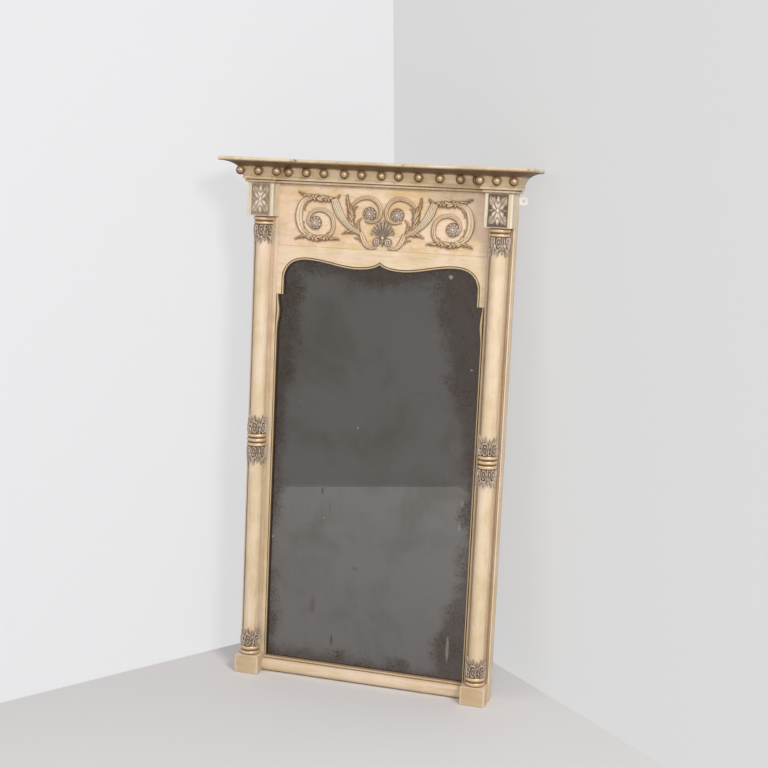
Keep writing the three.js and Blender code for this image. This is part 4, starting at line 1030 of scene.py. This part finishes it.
def alongPath(corners, directions, step):
    # points along straight runs, each with the way that the section faces there; the way at a corner
    # is the sum of its two runs' ways, which mitres the section
    path, ways = [], []
    for i in range(len(corners) - 1):
        a, b = np.array(corners[i], float), np.array(corners[i + 1], float)
        count = max(2, int(np.linalg.norm(b - a) / step))
        share = np.linspace(0, 1, count)[:-1] if i < len(corners) - 2 else np.linspace(0, 1, count)
        path.append(a + (b - a) * share[:, None])
        face = np.repeat(np.array(directions[i], float)[None], len(share), 0)
        if i > 0:
            face[0] = np.array(directions[i - 1], float) + directions[i]
        ways.append(face)
    return np.vstack(path), np.vstack(ways)


def blockCoveShell():
    # the cove's section carried round three sides of the die block, each corner mitred
    points, relief = coveSection()
    corners = [(dieLow[0], -seam), (dieLow[0], dieLow[1]), (dieHigh[0], dieLow[1]), (dieHigh[0], backY)]
    path, ways = alongPath(corners, [(-1, 0), (0, -1), (1, 0)], 5.0)
    xy = path[:, None] + ways[:, None] * points[None, :, :1]
    rings = np.dstack([xy, np.broadcast_to(dieHigh[2] + points[:, 1], xy.shape[:2])])
    rings[..., :2] += ways[:, None] * (0.25 * unevenness(rings, 60))[..., None]
    rings[..., 1] = np.minimum(rings[..., 1], backY)
    return loft(rings, shadeRoundBalls(rings, relief[None]))


bothSides("cornice_moulding", blockCoveShell(), "covePaint", ["cornice_cove"])

coveLine, coveRelief = coveSection()
centreSection = np.stack([-cornice["proud"] - coveLine[:, 0], dieHigh[2] + coveLine[:, 1]], 1)
centreSection[[0, -1], 0] = -seam
centreCove = runAcross(centreSection, -dieLow[0] + 1, dieLow[0] - 1, coveRelief, 6.0, 0.3, 90)
addPiece("middle_cornice_moulding", centreCove, "covePaint", ["centre_cornice_cove"])


def corniceBoardShell():
    # the breakfront outline in x and y, drawn in by a half-round nosing over its thickness;
    # a chip (x, y, deep, wide) is a dent of deep * exp(-(distance / wide)^2) in the front edge
    settings = {"nosing": 2.6, "chips": [(-184, -66, 3.2, 5), (186, -64, 2.6, 4), (-300, -104, 1.1, 5),
                                         (60, -62, 1.4, 6), (-90, -62, 1.2, 5), (342, -104, 1.8, 3),
                                         (250, -104, 0.9, 6)]}
    outer, inner = boardHigh[0], dieLow[0] - (cornice["lipReach"] + cornice["reach"] + cornice["noseFront"])
    front, recess = boardLow[1], -cornice["proud"] - (dieLow[1] - boardLow[1])
    corners = [(-outer, backY), (-outer, front), (-inner, front), (-inner, recess), (inner, recess),
               (inner, front), (outer, front), (outer, backY), (-outer, backY)]
    ways = [(-1, 0), (0, -1), (1, 0), (0, -1), (-1, 0), (0, -1), (1, 0), (0, 1)]
    path, face = alongPath(corners, ways, 5.0)
    path, face = path[:-1], face[:-1]
    face[0] = (-1, 1)
    turn = np.radians(np.linspace(-90, 90, 11))
    drawn = settings["nosing"] * (1 - np.cos(turn))
    thick = boardHigh[2] - boardLow[2]
    levels = boardLow[2] + thick / 2 + (thick / 2) * np.sign(turn) * np.abs(np.sin(turn)) ** 0.8
    xy = path[None] - face[None] * drawn[:, None, None]
    rings = np.dstack([xy, np.repeat(levels[:, None], len(path), 1)])
    dent = 0.18 * (1 + unevenness(rings, 46)) + 0.12 * (1 + unevenness(rings, 13, 1.0))
    for x, y, deep, wide in settings["chips"]:
        away = np.hypot(rings[..., 0] - x, rings[..., 1] - y)
        dent += deep * np.exp(-(away / wide) ** 2) * (rings[..., 2] > boardLow[2] + thick * 0.35)
    rings[..., :2] -= face[None] * dent[..., None]
    # relief is low on the nosing's lower half, which faces down, and high on its upper half: painted shade
    # under the board's edge and a painted highlight along its top
    relief = np.interp(np.degrees(turn), [-90, -50, -12, 12, 30, 90], [0.1, 0.16, 0.28, 0.6, 0.78, 0.5])
    return loft(rings, np.clip(relief[:, None] - 0.35 * np.clip(dent - 0.7, 0, 2), 0, 1))


addPiece("top_board", corniceBoardShell(), "dirtyPaintLevel", ["cornice_board"])


def ballShell(centre, radius, turn):
    # a sphere turned about y, a little flat in front, its radius uneven by 1.5 in 100. Relief is
    # 0.04 + 0.96 * facing^2, facing being the cosine to the way up, right and forward towards the
    # lamps: rubbed gilt and a painted highlight on that side, painted shade round the ball's edges
    settings = {"uneven": 0.015, "flat": 0.03, "litAndRubbedFrom": [0.34, -0.87, 0.36]}
    s = settings
    theta = np.radians(np.hstack([0.6, np.linspace(6, 174, 24), 179.4]))
    phi = np.linspace(0, 2 * math.pi, 40, endpoint=False)
    x = np.sin(theta)[:, None] * np.cos(phi)[None]
    z = np.sin(theta)[:, None] * np.sin(phi)[None]
    y = -np.cos(theta)[:, None] * np.ones_like(phi)[None]
    way = np.stack([x, y, z], -1)
    flat = s["flat"] * np.exp(-(theta / 0.35) ** 2)[:, None]
    size = radius * (1 - s["uneven"] + s["uneven"] * unevenness(way * 10, 14, turn) - flat)
    facing = np.clip(way @ s["litAndRubbedFrom"], 0, 1)
    relief = np.clip(0.04 + 0.96 * facing ** 2, 0, 1)
    return loft(np.array(centre) + way * size[..., None], relief)


def addBalls():
    # each ball takes its place from its solid, with its front at the solid's front
    radius = cornice["ball"]
    rows = {"centre": ("middle_ball", 11), "left": ("left_block_ball", 3), "right": ("right_block_ball", 3)}
    for group, (name, count) in rows.items():
        for i in range(1, count + 1):
            node = f"{group}_cornice_ball_{i}"
            lo, hi = extent(node)
            centre = ((lo[0] + hi[0]) / 2, lo[1] + radius, (lo[2] + hi[2]) / 2)
            shell = ballShell(centre, radius - 0.1, i * 0.9 + count)
            addPiece(f"{name}_{i}", shell, "ballGilt", [node])


addBalls()
print("cornice built")


# ---- frieze ----

carvingShift = 4.5  # the carving sits this far right of the middle
# the right half's lines, in millimetres from the carving's middle and above the frieze's lower edge
scrolls = {
    "belly": [(168, 110), (183, 106), (194, 94), (199.5, 68), (194, 43), (183, 31), (168, 25)],
    "crest": [(201, 122.5), (190, 117.5), (178, 113), (165, 110.5), (150, 110), (135, 109), (120, 108.5),
              (110, 112), (103, 119.5)],
    "foot": [(206, 16.5), (192, 22), (178, 23), (165, 21), (150, 20), (135, 21.5), (120, 22), (110, 21),
             (100.5, 19.5)],
    "topHook": [(172, 108), (181, 101), (186, 91), (185.5, 82)],
    "footHook": [(174, 28), (184, 36), (188.5, 47), (187, 57)],
    "footCurl": [(132, 26), (122, 33), (118, 43), (119, 52)],
    "spiral": [(125, 27), (118, 38), (116, 55), (121, 70), (133, 80.5), (149, 84), (164, 80), (173.5, 70),
               (176, 58), (171, 48)],
    "horn": [(116, 109), (111, 95), (101, 75), (87, 58), (71, 45), (53, 35)],
    "upright": [(54, 34), (66, 46), (75, 61), (75, 77), (80, 93), (85, 107), (86, 121)],
    "innerHook": [(73, 66), (73, 79), (69, 90), (61, 96.5)],
    "innerLobe": [(55, 40), (58, 52), (57, 63), (50, 71)],
    "fallen": [(58, 41), (75, 40), (95, 33)],
    "stub": [(46, 31), (54, 25.5), (65, 25.5)],
    "lowStub": [(44, 25), (48, 20.5), (54, 19.5)],
    "inner": [(74, 97), (62, 108), (48, 114.5), (33, 115.5), (18, 109), (8, 95), (6.5, 80), (13, 67.5),
              (27, 63), (42, 66)],
    "tendril": [(51, 38), (45, 23), (37, 10.5), (26, 5.5), (13, 6.5)],
}
rosette = {"places": [(160, 54.5), (32, 80)], "radius": 15.6, "high": 8.2, "petals": 9}
glazeAndShadowOutlines = []  # the edges of each carved strip, where brown glaze and a painted shadow lie on the board


def onFrieze(points):
    # heights over the frieze's lower edge become heights over the floor
    return np.array(points, float) + [0, friezeLow[2]]


def carvedStrip(name, halfWidths, high, kind, count, lobes=0, lean=0.8, columns=15):
    # a strip along a drawn line: across it t runs from -1 to 1, along it s from 0 to 1.
    # A leaf's edge is cut into lobes, and its ribs slope back from the middle line to meet the cuts;
    # "ribs" are two round ribs with a groove between them, "flutes" are four. Relief starts at the
    # form's height that is clean of glaze, and is a little more on the strip's upper side and a little
    # less on its lower side: a painted highlight above and painted shade below
    line = smoothLine(onFrieze(scrolls[name]), count)
    s = np.linspace(0, 1, count)[:, None]
    t = np.linspace(-1, 1, columns)[None]
    half = along(halfWidths, count)[:, None]
    away = np.abs(t)
    if kind == "leaf":
        beat = lobes * s + 0.3 * np.sin(2.3 * lobes * s + len(name)) + 0.2 * np.sign(t)
        half = half * (0.5 + 0.5 * np.abs(np.sin(math.pi * (beat - lean))) ** 0.7)
        rib = np.abs(np.sin(math.pi * (beat - lean * away))) ** 0.7
        form = (1 - t ** 2) ** 0.5 * (0.2 + 0.8 * rib) * (1 - 0.3 * np.exp(-(t / 0.14) ** 2))
    elif kind == "ribs":
        form = 0.45 * (1 - t ** 4) + 0.55 * np.sin(math.pi * away) ** 2 + 0 * s
    else:
        form = 0.5 * (1 - t ** 4) + 0.5 * np.abs(np.sin(2 * math.pi * t)) ** 0.8 + 0 * s
    wander = unevenness(np.stack([line[:, :1] + 0 * t, line[:, 1:] + 0 * t, half * t], -1), 7.0)
    form = np.clip(form + 0.07 * wander * (form > 0.05), 0, None)
    height = high * form * np.clip(half / 3.2, 0.4, 1)
    xz = line[:, None] + acrossLine(line)[:, None] * (half * t)[..., None]
    clean = {"leaf": 0.42, "ribs": 0.14, "flutes": 0.26}[kind]
    # upper side lighter and lower side darker: painted light from above
    upper = acrossLine(line)[:, 1:] * t
    relief = np.clip((form - clean) / 0.6 + 0.2 * upper, 0, 1) * 0.94 + 0.06
    glazeAndShadowOutlines.append(np.concatenate([xz[::2, 0], xz[::2, -1]]))
    return backed(np.stack([xz[..., 0], 0.25 - height, xz[..., 1]], -1), relief, 0.7, 0.0)


def rosetteShell(centre):
    # polar: an outer ring of petals, an inner ring turned by half a petal, and a round heart;
    # the height is a low dome, plus the petals, plus the heart
    petals = rosette["petals"]
    r = np.linspace(0.02, 1, 26)[:, None]
    turn = np.linspace(0, 2 * math.pi, 108, endpoint=False)[None]
    outer = np.abs(np.cos(petals * turn / 2)) ** 0.5
    inner = np.abs(np.sin(petals * turn / 2)) ** 0.5
    reach = rosette["radius"] * (0.9 + 0.1 * outer)
    edge = np.sqrt(np.clip(1 - r ** 6, 0, 1))
    ring = np.where(r > 0.62, outer * np.sin(math.pi * np.clip((r - 0.55) / 0.45, 0, 1)) ** 0.6,
                    inner * np.sin(math.pi * np.clip((r - 0.2) / 0.45, 0, 1)) ** 0.6)
    heart = np.sqrt(np.clip(1 - (r / 0.24) ** 2, 0, 1)) + 0 * turn
    form = edge * (0.35 + 0.3 * (1 - r ** 2) + 0.3 * ring) + 0.22 * heart
    centre = onFrieze(centre)
    x = centre[0] + reach * r * np.cos(turn)
    z = centre[1] + reach * r * np.sin(turn)
    relief = np.clip((edge * ring * 0.9 + heart) * 1.1 - 0.1, 0, 1)
    rings = np.stack([x, 0.4 - rosette["high"] * form, z], -1)
    last = rings[-1:].copy()
    last[..., 1] = 0.8
    return loft(np.concatenate([rings, last]), np.concatenate([relief, relief[-1:] * 0]))


# each line's half widths along it, its height, its form, its steps, and a leaf's lobes and their lean
hook = ([4.4, 5.6, 4.2, 0.8], 5.8, "leaf", 44, 3)
strips = {
    "belly": ([4, 6.4, 8, 8.4, 8, 6.4, 4], 4.4, "ribs", 90),
    "crest": ([1.4, 5.5, 7.5, 8.4, 8.6, 8.4, 7.5, 6, 1.6], 6.4, "leaf", 190, 9, 0.5),
    "foot": ([1.4, 4.5, 6.8, 7.5, 7.5, 7.5, 7, 5, 1.6], 6.2, "leaf", 190, 9, 0.5),
    "spiral": ([3.6, 3.8, 4.1, 4.1, 4.1, 4, 3.6, 2.8], 6.2, "ribs", 110),
    "topHook": hook,
    "footHook": hook,
    "footCurl": hook,
    "upright": ([3, 6, 9, 9.5, 8.5, 6, 1.2], 6.6, "leaf", 130, 6, 0.9),
    "innerHook": ([4.4, 6.5, 5, 0.8], 5.8, "leaf", 44, 3),
    "innerLobe": ([3.4, 4.6, 3.6, 0.8], 4.3, "leaf", 44, 3),
    "fallen": ([4.5, 7, 0.9], 5.4, "leaf", 60, 3),
    "stub": ([3.4, 4, 0.8], 4.0, "leaf", 34, 2),
    "lowStub": ([2.6, 3, 0.7], 3.6, "leaf", 24, 2),
    "inner": ([2.4, 3.8, 4, 4.1, 4.1, 4, 3.8, 3.6, 3.4, 2.6], 6.2, "ribs", 120),
    "tendril": ([4.2, 5.6, 5, 4, 2], 5.6, "ribs", 60),
}
carvedScrolls = [carvedStrip(name, *strip) for name, strip in strips.items()]
rosettes = [rosetteShell(place) for place in rosette["places"]]
horn = carvedStrip("horn", [7.8, 9.2, 8.8, 7.2, 5.2, 3.6], 6.4, "flutes", 80, columns=25)
bothSides("scrolls", carvedScrolls, "friezeCarving", ["scrollwork"], 60, carvingShift)
bothSides("rosettes", rosettes, "silverCarving", smoothAngle=60, shift=carvingShift)
bothSides("horn", horn, "hornCarving", smoothAngle=60, shift=carvingShift)


anthemionRoot = (0, 29)


def frondHeight(x, z, root, angle, length, width):
    # a frond widening towards a round end, hollow along its middle
    turn = math.radians(angle)
    dx, dz = x - root[0], z - root[1]
    u = np.clip((dx * math.sin(turn) + dz * math.cos(turn)) / length, 0, 1.2)
    w = dx * math.cos(turn) - dz * math.sin(turn)
    roundEnd = np.sqrt(np.clip(1 - np.clip((u - 0.86) / 0.14, 0, 1) ** 2, 0, 1))
    half = width / 2 * np.clip(0.3 + 0.75 * u, 0, 1) * roundEnd + 1e-6
    t = np.clip(np.abs(w) / half, 0, 1)
    return (1 - t ** 4) * (0.42 + 0.58 * np.sin(math.pi * t) ** 1.2) * (u > 0.02) * (0.7 + 0.3 * u)


def anthemionShell():
    # fronds fan out of a heart over two volutes, whose coils are (1 + cos) / 2 of a spiral's turn;
    # a small leaf lies on each side of the heart and one hangs under it. Fronds shorten by up to
    # "shorter" times the sine of their angle
    settings = {"fronds": 9, "spread": 66.0, "long": 38.0, "shorter": 0.24, "wide": 6.8, "relief": 6.8,
                "volute": 8.5, "voluteX": 14.0, "voluteDown": 10.0, "coil": 4.2, "heart": (4.5, 4.0),
                "halfWidth": 29, "low": 3, "high": 69}
    s = settings
    base = onFrieze(anthemionRoot)
    xs = np.linspace(-s["halfWidth"], s["halfWidth"], 170)
    zs = friezeLow[2] + np.linspace(s["low"], s["high"], 190)
    x, z = np.meshgrid(xs, zs)
    height = np.zeros_like(x)
    for i in range(s["fronds"]):
        angle = s["spread"] * (2 * i / (s["fronds"] - 1) - 1)
        long = s["long"] * (1 - s["shorter"] * abs(math.sin(math.radians(angle))))
        height = np.maximum(height, frondHeight(x, z, base, angle, long, s["wide"]))
    for way in (-1, 1):
        dx, dz = (x - way * s["voluteX"]) * way, z - base[1] + s["voluteDown"]
        away, turn = np.hypot(dx, dz), np.arctan2(dz, dx)
        coil = 0.5 + 0.5 * np.cos(2 * math.pi * (away / s["coil"] - turn / (2 * math.pi)))
        disc = np.clip((s["volute"] - away) / 1.2, 0, 1) ** 0.5
        height = np.maximum(height, disc * (0.45 + 0.5 * coil))
        height = np.maximum(height, 0.8 * leafHeight(x, z, (way * 4, base[1] - 1), way * 118, 17, 7, 1))
    height = np.maximum(height, 0.9 * bossHeight(x, z, (0, base[1] - 1), s["heart"]))
    height = np.maximum(height, 0.8 * leafHeight(x, z, (0, base[1] - 3), 180, 18, 7.5, 2))
    spots = np.stack([x, x * 0, z], -1)
    height = np.clip(height + 0.08 * unevenness(spots, 4.5) * (height > 0.05), 0, 2)
    relief = np.clip((height - 0.3) / 0.55, 0, 1)
    return carvedPlate(x, z, s["relief"] * height, relief, 0.45, 0.5)


palmette = shifted(anthemionShell(), carvingShift)
addPiece("palmette", palmette, "silverCarving", ["anthemion"], 70)


def friezeBoardShell():
    # a flat board; brown glaze and a painted shadow lie close round the carving planted on it:
    # relief = 0.5 - amount * exp(-distance / reach), distance being from the carving's outlines moved
    # a little down and to the left, the side away from the light, where the painted shadow falls; and it
    # is lower under the cornice and beside the stiles, painted shade where these shut out the light
    settings = {"reach": 2.8, "amount": 0.46, "lower": (-1.0, -1.3), "rosette": 15.2,
                "volutePlace": (13.5, 19), "volute": 7.5, "fan": 35, "fanShorter": 9}
    s = settings
    xs = np.linspace(friezeLow[0], friezeHigh[0], 330)
    zs = np.hstack([np.linspace(friezeLow[2], dieHigh[2], 96), friezeHigh[2]])
    x, z = np.meshgrid(xs, zs)
    around = np.radians(np.arange(0, 360, 12))
    ring = np.stack([np.cos(around), np.sin(around)], 1)
    rounds = [onFrieze(place) + s["rosette"] * ring for place in rosette["places"]]
    rounds.append(onFrieze(s["volutePlace"]) + s["volute"] * ring)
    fan = np.radians(np.linspace(0, 75, 16))
    tips = (s["fan"] - s["fanShorter"] * np.sin(fan))[:, None] * np.stack([np.sin(fan), np.cos(fan)], 1)
    marks = np.vstack([*glazeAndShadowOutlines, *rounds, onFrieze(anthemionRoot) + tips])
    # moved towards the side away from the light, so that the dark round the carving is a painted shadow
    marks = np.vstack([marks, marks * [-1, 1]]) + [carvingShift, 0] + np.array(s["lower"])
    spots = np.stack([x.ravel(), z.ravel()], 1)
    nearest = np.full(len(spots), 1e9)
    for start in range(0, len(marks), 60):
        gap = spots[:, None] - marks[None, start:start + 60]
        nearest = np.minimum(nearest, (gap ** 2).sum(-1).min(1))
    glazeAndShadow = np.exp(-np.sqrt(nearest) / s["reach"]).reshape(x.shape)
    # painted shade under the cornice and beside the blocks
    shadeUnderAndBeside = np.exp(-(dieHigh[2] - z) / 5) + 0.6 * np.exp(-(friezeHigh[0] - np.abs(x)) / 9)
    relief = 0.5 - s["amount"] * glazeAndShadow - 0.26 * np.clip(shadeUnderAndBeside, 0, 1)
    relief[0] = 0.3
    return backed(np.stack([x, np.zeros_like(x), z], -1), relief, friezeHigh[1], 0.3)


addPiece("frieze_field", friezeBoardShell(), "friezePaint", ["frieze_board"])
print("frieze built")


# ---- fixings ----

def washerShell(centre, outer, hole, thick, arris=0.25):
    # a square section with its arrises taken off, turned about y
    section = np.array([[hole + arris, 0], [outer - arris, 0], [outer, arris],
                        [outer, thick - arris], [outer - arris, thick],
                        [hole + arris, thick], [hole, thick - arris], [hole, arris]])
    sides = 56
    turn = np.linspace(0, 2 * math.pi, sides, endpoint=False)
    rings = np.stack([centre[0] + section[None, :, 0] * np.cos(turn)[:, None],
                      centre[1] + np.repeat(section[None, :, 1], sides, 0),
                      centre[2] + section[None, :, 0] * np.sin(turn)[:, None]], -1)
    return loft(rings, 0.5, closed=True)


def plateShells():
    # a round eye beside the stile, and the strap behind the stile that it grows from, a little thinner
    settings = {"eye": 9.8, "hole": 4.0, "thick": 2.0, "wide": 16.0, "thinner": 0.2}
    s = settings
    eyeX, eyeZ = plateHigh[0] - s["eye"], (plateLow[2] + plateHigh[2]) / 2
    front = backY - s["thick"]
    low = [plateLow[0], front + s["thinner"], eyeZ - s["wide"] / 2]
    high = [eyeX - s["eye"] * 0.62, backY - s["thinner"], eyeZ + s["wide"] / 2]
    strap = block(low, high, 0.4, 0.3, 6, 4)
    return [washerShell((eyeX, front, eyeZ), s["eye"], s["hole"], s["thick"]), strap]


bothSides("eye_plate", plateShells(), "whitePaint", ["hanging_plate"])


def screwShell(centre, radius, dome, slotWide=0.9, slotDeep=0.7):
    # a low dome that faces back, with a straight slot sunk across it
    r = np.hstack([0.02, np.linspace(0.1, 1, 16)])[:, None] * radius
    turn = np.linspace(0, 2 * math.pi, 48, endpoint=False)[None]
    x, z = r * np.cos(turn), r * np.sin(turn)
    height = dome * (1 - (r / radius) ** 2) + 0 * turn
    height = height - slotDeep * (np.abs(x * 0.8 + z * 0.6) < slotWide / 2)
    rings = np.stack([centre[0] + x, centre[1] + height, centre[2] + z], -1)
    back = rings[-1:].copy()
    back[..., 1] = centre[1] - 1.0
    return loft(np.concatenate([rings, back]), 0.5)


screwLow, screwHigh = extent("right_plate_screw")
screwPlace = ((screwLow[0] + screwHigh[0]) / 2, backY - 0.9, (screwLow[2] + screwHigh[2]) / 2)
bothSides("screw_head", screwShell(screwPlace, 3.3, 0.8), "iron", ["plate_screw"])


def nailShells():
    # domed heads in two rows, one down each edge of the right backboard
    settings = {"inset": 8.0, "innerX": 14.0, "belowTop": 14, "overRail": 12, "rows": 7, "head": 2.6,
                "dome": 0.8}
    s = settings
    heights = np.linspace(railLow[2] + s["overRail"], friezeHigh[2] - s["belowTop"], s["rows"])
    outerX = extent("mirror_plate")[1][0] - s["inset"]
    places = [(x, z) for x in (outerX, s["innerX"]) for z in heights]
    return [screwShell((x, backY - 0.8, z), s["head"], s["dome"], 0.0, 0.0) for x, z in places]


bothSides("backboard_nails", nailShells(), "iron")

# solids that are shown as they are
nodeFinishes = {"mirror_plate": "oldMirror", "backboard_left": "rawPineUpright",
                "backboard_right": "rawPineUpright", "top_rail": "rawPineLevel",
                "left_glazing_strip": "rawPineUpright", "right_glazing_strip": "rawPineUpright"}
for node, finish in nodeFinishes.items():
    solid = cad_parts[node]
    for i in range(len(solid.material_slots)):
        solid.material_slots[i].material = finishes[finish]
print("fixings built")


# ---- room, light and camera ----

def floorMaterial(name, colour):
    # even paint with a faint cloudiness
    tree, shader, place = newMaterial(name)
    cloud = remap(tree, noise(tree, place, 0.8, 3, 0.5), 0.3, 0.7, 0.97, 1.0)
    grey = addNode(tree, "ShaderNodeCombineColor", {0: cloud, 1: cloud, 2: cloud}).outputs[0]
    tree.links.new(blendColour(tree, 1.0, colour, grey, "MULTIPLY"), shader.inputs["Base Color"])
    shader.inputs["Roughness"].default_value = 0.9
    shader.inputs["Specular IOR Level"].default_value = 0.1


def wallMaterial(name, colour, glow=0.0):
    # plain paint from the room's side, clear from behind; the glow keeps the mirror's shadow on it soft
    tree, shader, _ = newMaterial(name)
    shader.inputs["Base Color"].default_value = (*(c * (1 - glow) for c in colour[:3]), 1)
    shader.inputs["Roughness"].default_value = 1.0
    shader.inputs["Specular IOR Level"].default_value = 0.0
    shader.inputs["Emission Color"].default_value = colour
    shader.inputs["Emission Strength"].default_value = glow
    clear = addNode(tree, "ShaderNodeBsdfTransparent")
    facing = addNode(tree, "ShaderNodeNewGeometry").outputs["Backfacing"]
    mixed = addNode(tree, "ShaderNodeMixShader", {0: facing, 1: shader.outputs[0], 2: clear.outputs[0]})
    output = next(node for node in tree.nodes if node.type == "OUTPUT_MATERIAL")
    tree.links.new(mixed.outputs[0], output.inputs[0])


def addPlane(name, corners, finish):
    # one flat face that is stage, not part of the mirror
    mesh = bpy.data.meshes.new(name)
    mesh.from_pydata([tuple(np.array(c) * toMetres) for c in corners], [], [tuple(range(len(corners)))])
    mesh.materials.append(finishes[finish])
    made = bpy.data.objects.new(name, mesh)
    scene.collection.objects.link(made)
    return made


def buildRoom():
    # two pale walls meet behind the mirror; the corner is where their floor lines cross, and they lean
    # as the room does seen from the mirror, which stands upright here. The far side of the room,
    # which only the glass shows, is a sheet of wall over a low skirting
    settings = {"leftLine": ((-690, -393), (-379, 168)), "rightLine": ((288, 276), (725, -183)),
                "tall": 6000, "long": 9000, "lean": (-0.0311, -0.08),
                "farLine": ((-1800, -1387), (300, -2507)), "skirting": 8, "floorHalf": 12000,
                "floorZ": -0.5}
    s = settings
    floorMaterial("floorPaint", srgb(236, 233, 233))
    wallMaterial("leftWallPaint", srgb(234, 234, 236), 0.72)
    wallMaterial("rightWallPaint", srgb(226, 226, 226), 0.72)
    wallMaterial("farWallPaint", srgb(224, 222, 220))
    wallMaterial("skirtingPaint", srgb(236, 235, 235))
    a, b = (np.array(p, float) for p in s["leftLine"])
    c, d = (np.array(p, float) for p in s["rightLine"])
    u, w = (b - a) / np.linalg.norm(b - a), (d - c) / np.linalg.norm(d - c)
    steps = np.linalg.solve(np.stack([u, -w], 1), c - a)
    corner = a + u * steps[0]
    leftEnd, rightEnd = corner - u * s["long"], corner + w * s["long"]
    tall = s["tall"]
    leftTop, top, rightTop = (place + np.array(s["lean"]) * tall for place in (leftEnd, corner, rightEnd))
    left = [(*leftEnd, 0), (*corner, 0), (*top, tall), (*leftTop, tall)]
    right = [(*corner, 0), (*rightEnd, 0), (*rightTop, tall), (*top, tall)]
    for name, corners in {"left": left, "right": right}.items():
        wall = addPlane(f"{name}_wall", corners, f"{name}WallPaint")
        wall.visible_diffuse = wall.visible_shadow = wall.visible_glossy = False
    p, q = s["farLine"]
    foot = s["skirting"]
    sheets = [("far_wall", foot, tall, "farWallPaint"), ("skirting", 0, foot, "skirtingPaint")]
    for name, low, high, finish in sheets:
        sheet = addPlane(name, [(*q, low), (*p, low), (*p, high), (*q, high)], finish)
        sheet.visible_camera = sheet.visible_diffuse = sheet.visible_shadow = False
    half, z = s["floorHalf"], s["floorZ"]
    ground = [(-half, -half, z), (half, -half, z), (half, half, z), (-half, half, z)]
    addPlane("floor", ground, "floorPaint")


def addLamp(name, place, target, size, power):
    # a square soft lamp turned towards its target; metres and watts
    data = bpy.data.lights.new(name, "AREA")
    data.shape, data.size, data.energy = "SQUARE", size, power
    lamp = bpy.data.objects.new(name, data)
    lamp.location = place
    lamp.rotation_euler = (Vector(target) - Vector(place)).to_track_quat("-Z", "Y").to_euler()
    scene.collection.objects.link(lamp)


def lightRoom():
    # an even pale world for fill, one lamp up on the right, one low beside the camera, and a weak one
    # on the left; each lamp has its place, its target, its size and its power
    settings = {"world": 0.44,
                "key": ((2.9, -3.1, 3.3), (0, 0, 0.7), 1.2, 114.0),
                "front": ((1.03, -4.14, 1.96), (0, 0, 0.8), 0.8, 27.0),
                "fill": ((-2.6, -3.6, 2.6), (0, 0, 0.6), 2.4, 26.0)}
    world = bpy.data.worlds.new("room")
    world.use_nodes = True
    tree = world.node_tree
    tree.nodes.clear()
    rays = addNode(tree, "ShaderNodeLightPath").outputs
    seen = larger(tree, rays["Is Camera Ray"], rays["Is Glossy Ray"])
    seen = larger(tree, seen, rays["Is Transmission Ray"])
    white = srgb(255, 255, 255)
    fill = addNode(tree, "ShaderNodeBackground", {"Color": white, "Strength": settings["world"]})
    view = addNode(tree, "ShaderNodeBackground", {"Color": srgb(228, 228, 230), "Strength": 1.0})
    mixed = addNode(tree, "ShaderNodeMixShader", {0: seen, 1: fill.outputs[0], 2: view.outputs[0]})
    tree.links.new(mixed.outputs[0], addNode(tree, "ShaderNodeOutputWorld").inputs[0])
    scene.world = world
    for name in ("key", "front", "fill"):
        addLamp(name, *settings[name])


def placeCamera():
    # turned left by its azimuth, down by its pitch and rolled, as the photograph was taken;
    # focal and image are in pixels, sensor and place in millimetres
    settings = {"azimuth": 15.955, "pitch": 7.995, "roll": 2.614, "place": (883.2, -3009.8, 1147.7),
                "focal": 1400.35, "image": 768, "sensor": 36.0}
    azimuth, pitch, roll = (math.radians(settings[key]) for key in ("azimuth", "pitch", "roll"))
    across = math.cos(pitch)
    forward = Vector((-math.sin(azimuth) * across, math.cos(azimuth) * across, -math.sin(pitch)))
    level = Vector((math.cos(azimuth), math.sin(azimuth), 0))
    overhead = level.cross(forward)
    right = math.cos(roll) * level + math.sin(roll) * overhead
    up = -math.sin(roll) * level + math.cos(roll) * overhead
    data = bpy.data.cameras.new("camera")
    data.sensor_width = settings["sensor"]
    data.lens = settings["sensor"] * settings["focal"] / settings["image"]
    data.clip_end = 60
    camera = bpy.data.objects.new("camera", data)
    place = Vector(settings["place"]) * toMetres + Vector((0, faceY * toMetres, 0))
    camera.matrix_world = Matrix.Translation(place) @ Matrix((right, up, -forward)).transposed().to_4x4()
    scene.collection.objects.link(camera)
    scene.camera = camera


buildRoom()
lightRoom()
placeCamera()
scene.view_settings.view_transform = "Standard"
bpy.context.view_layer.update()
print("room, light and camera set")
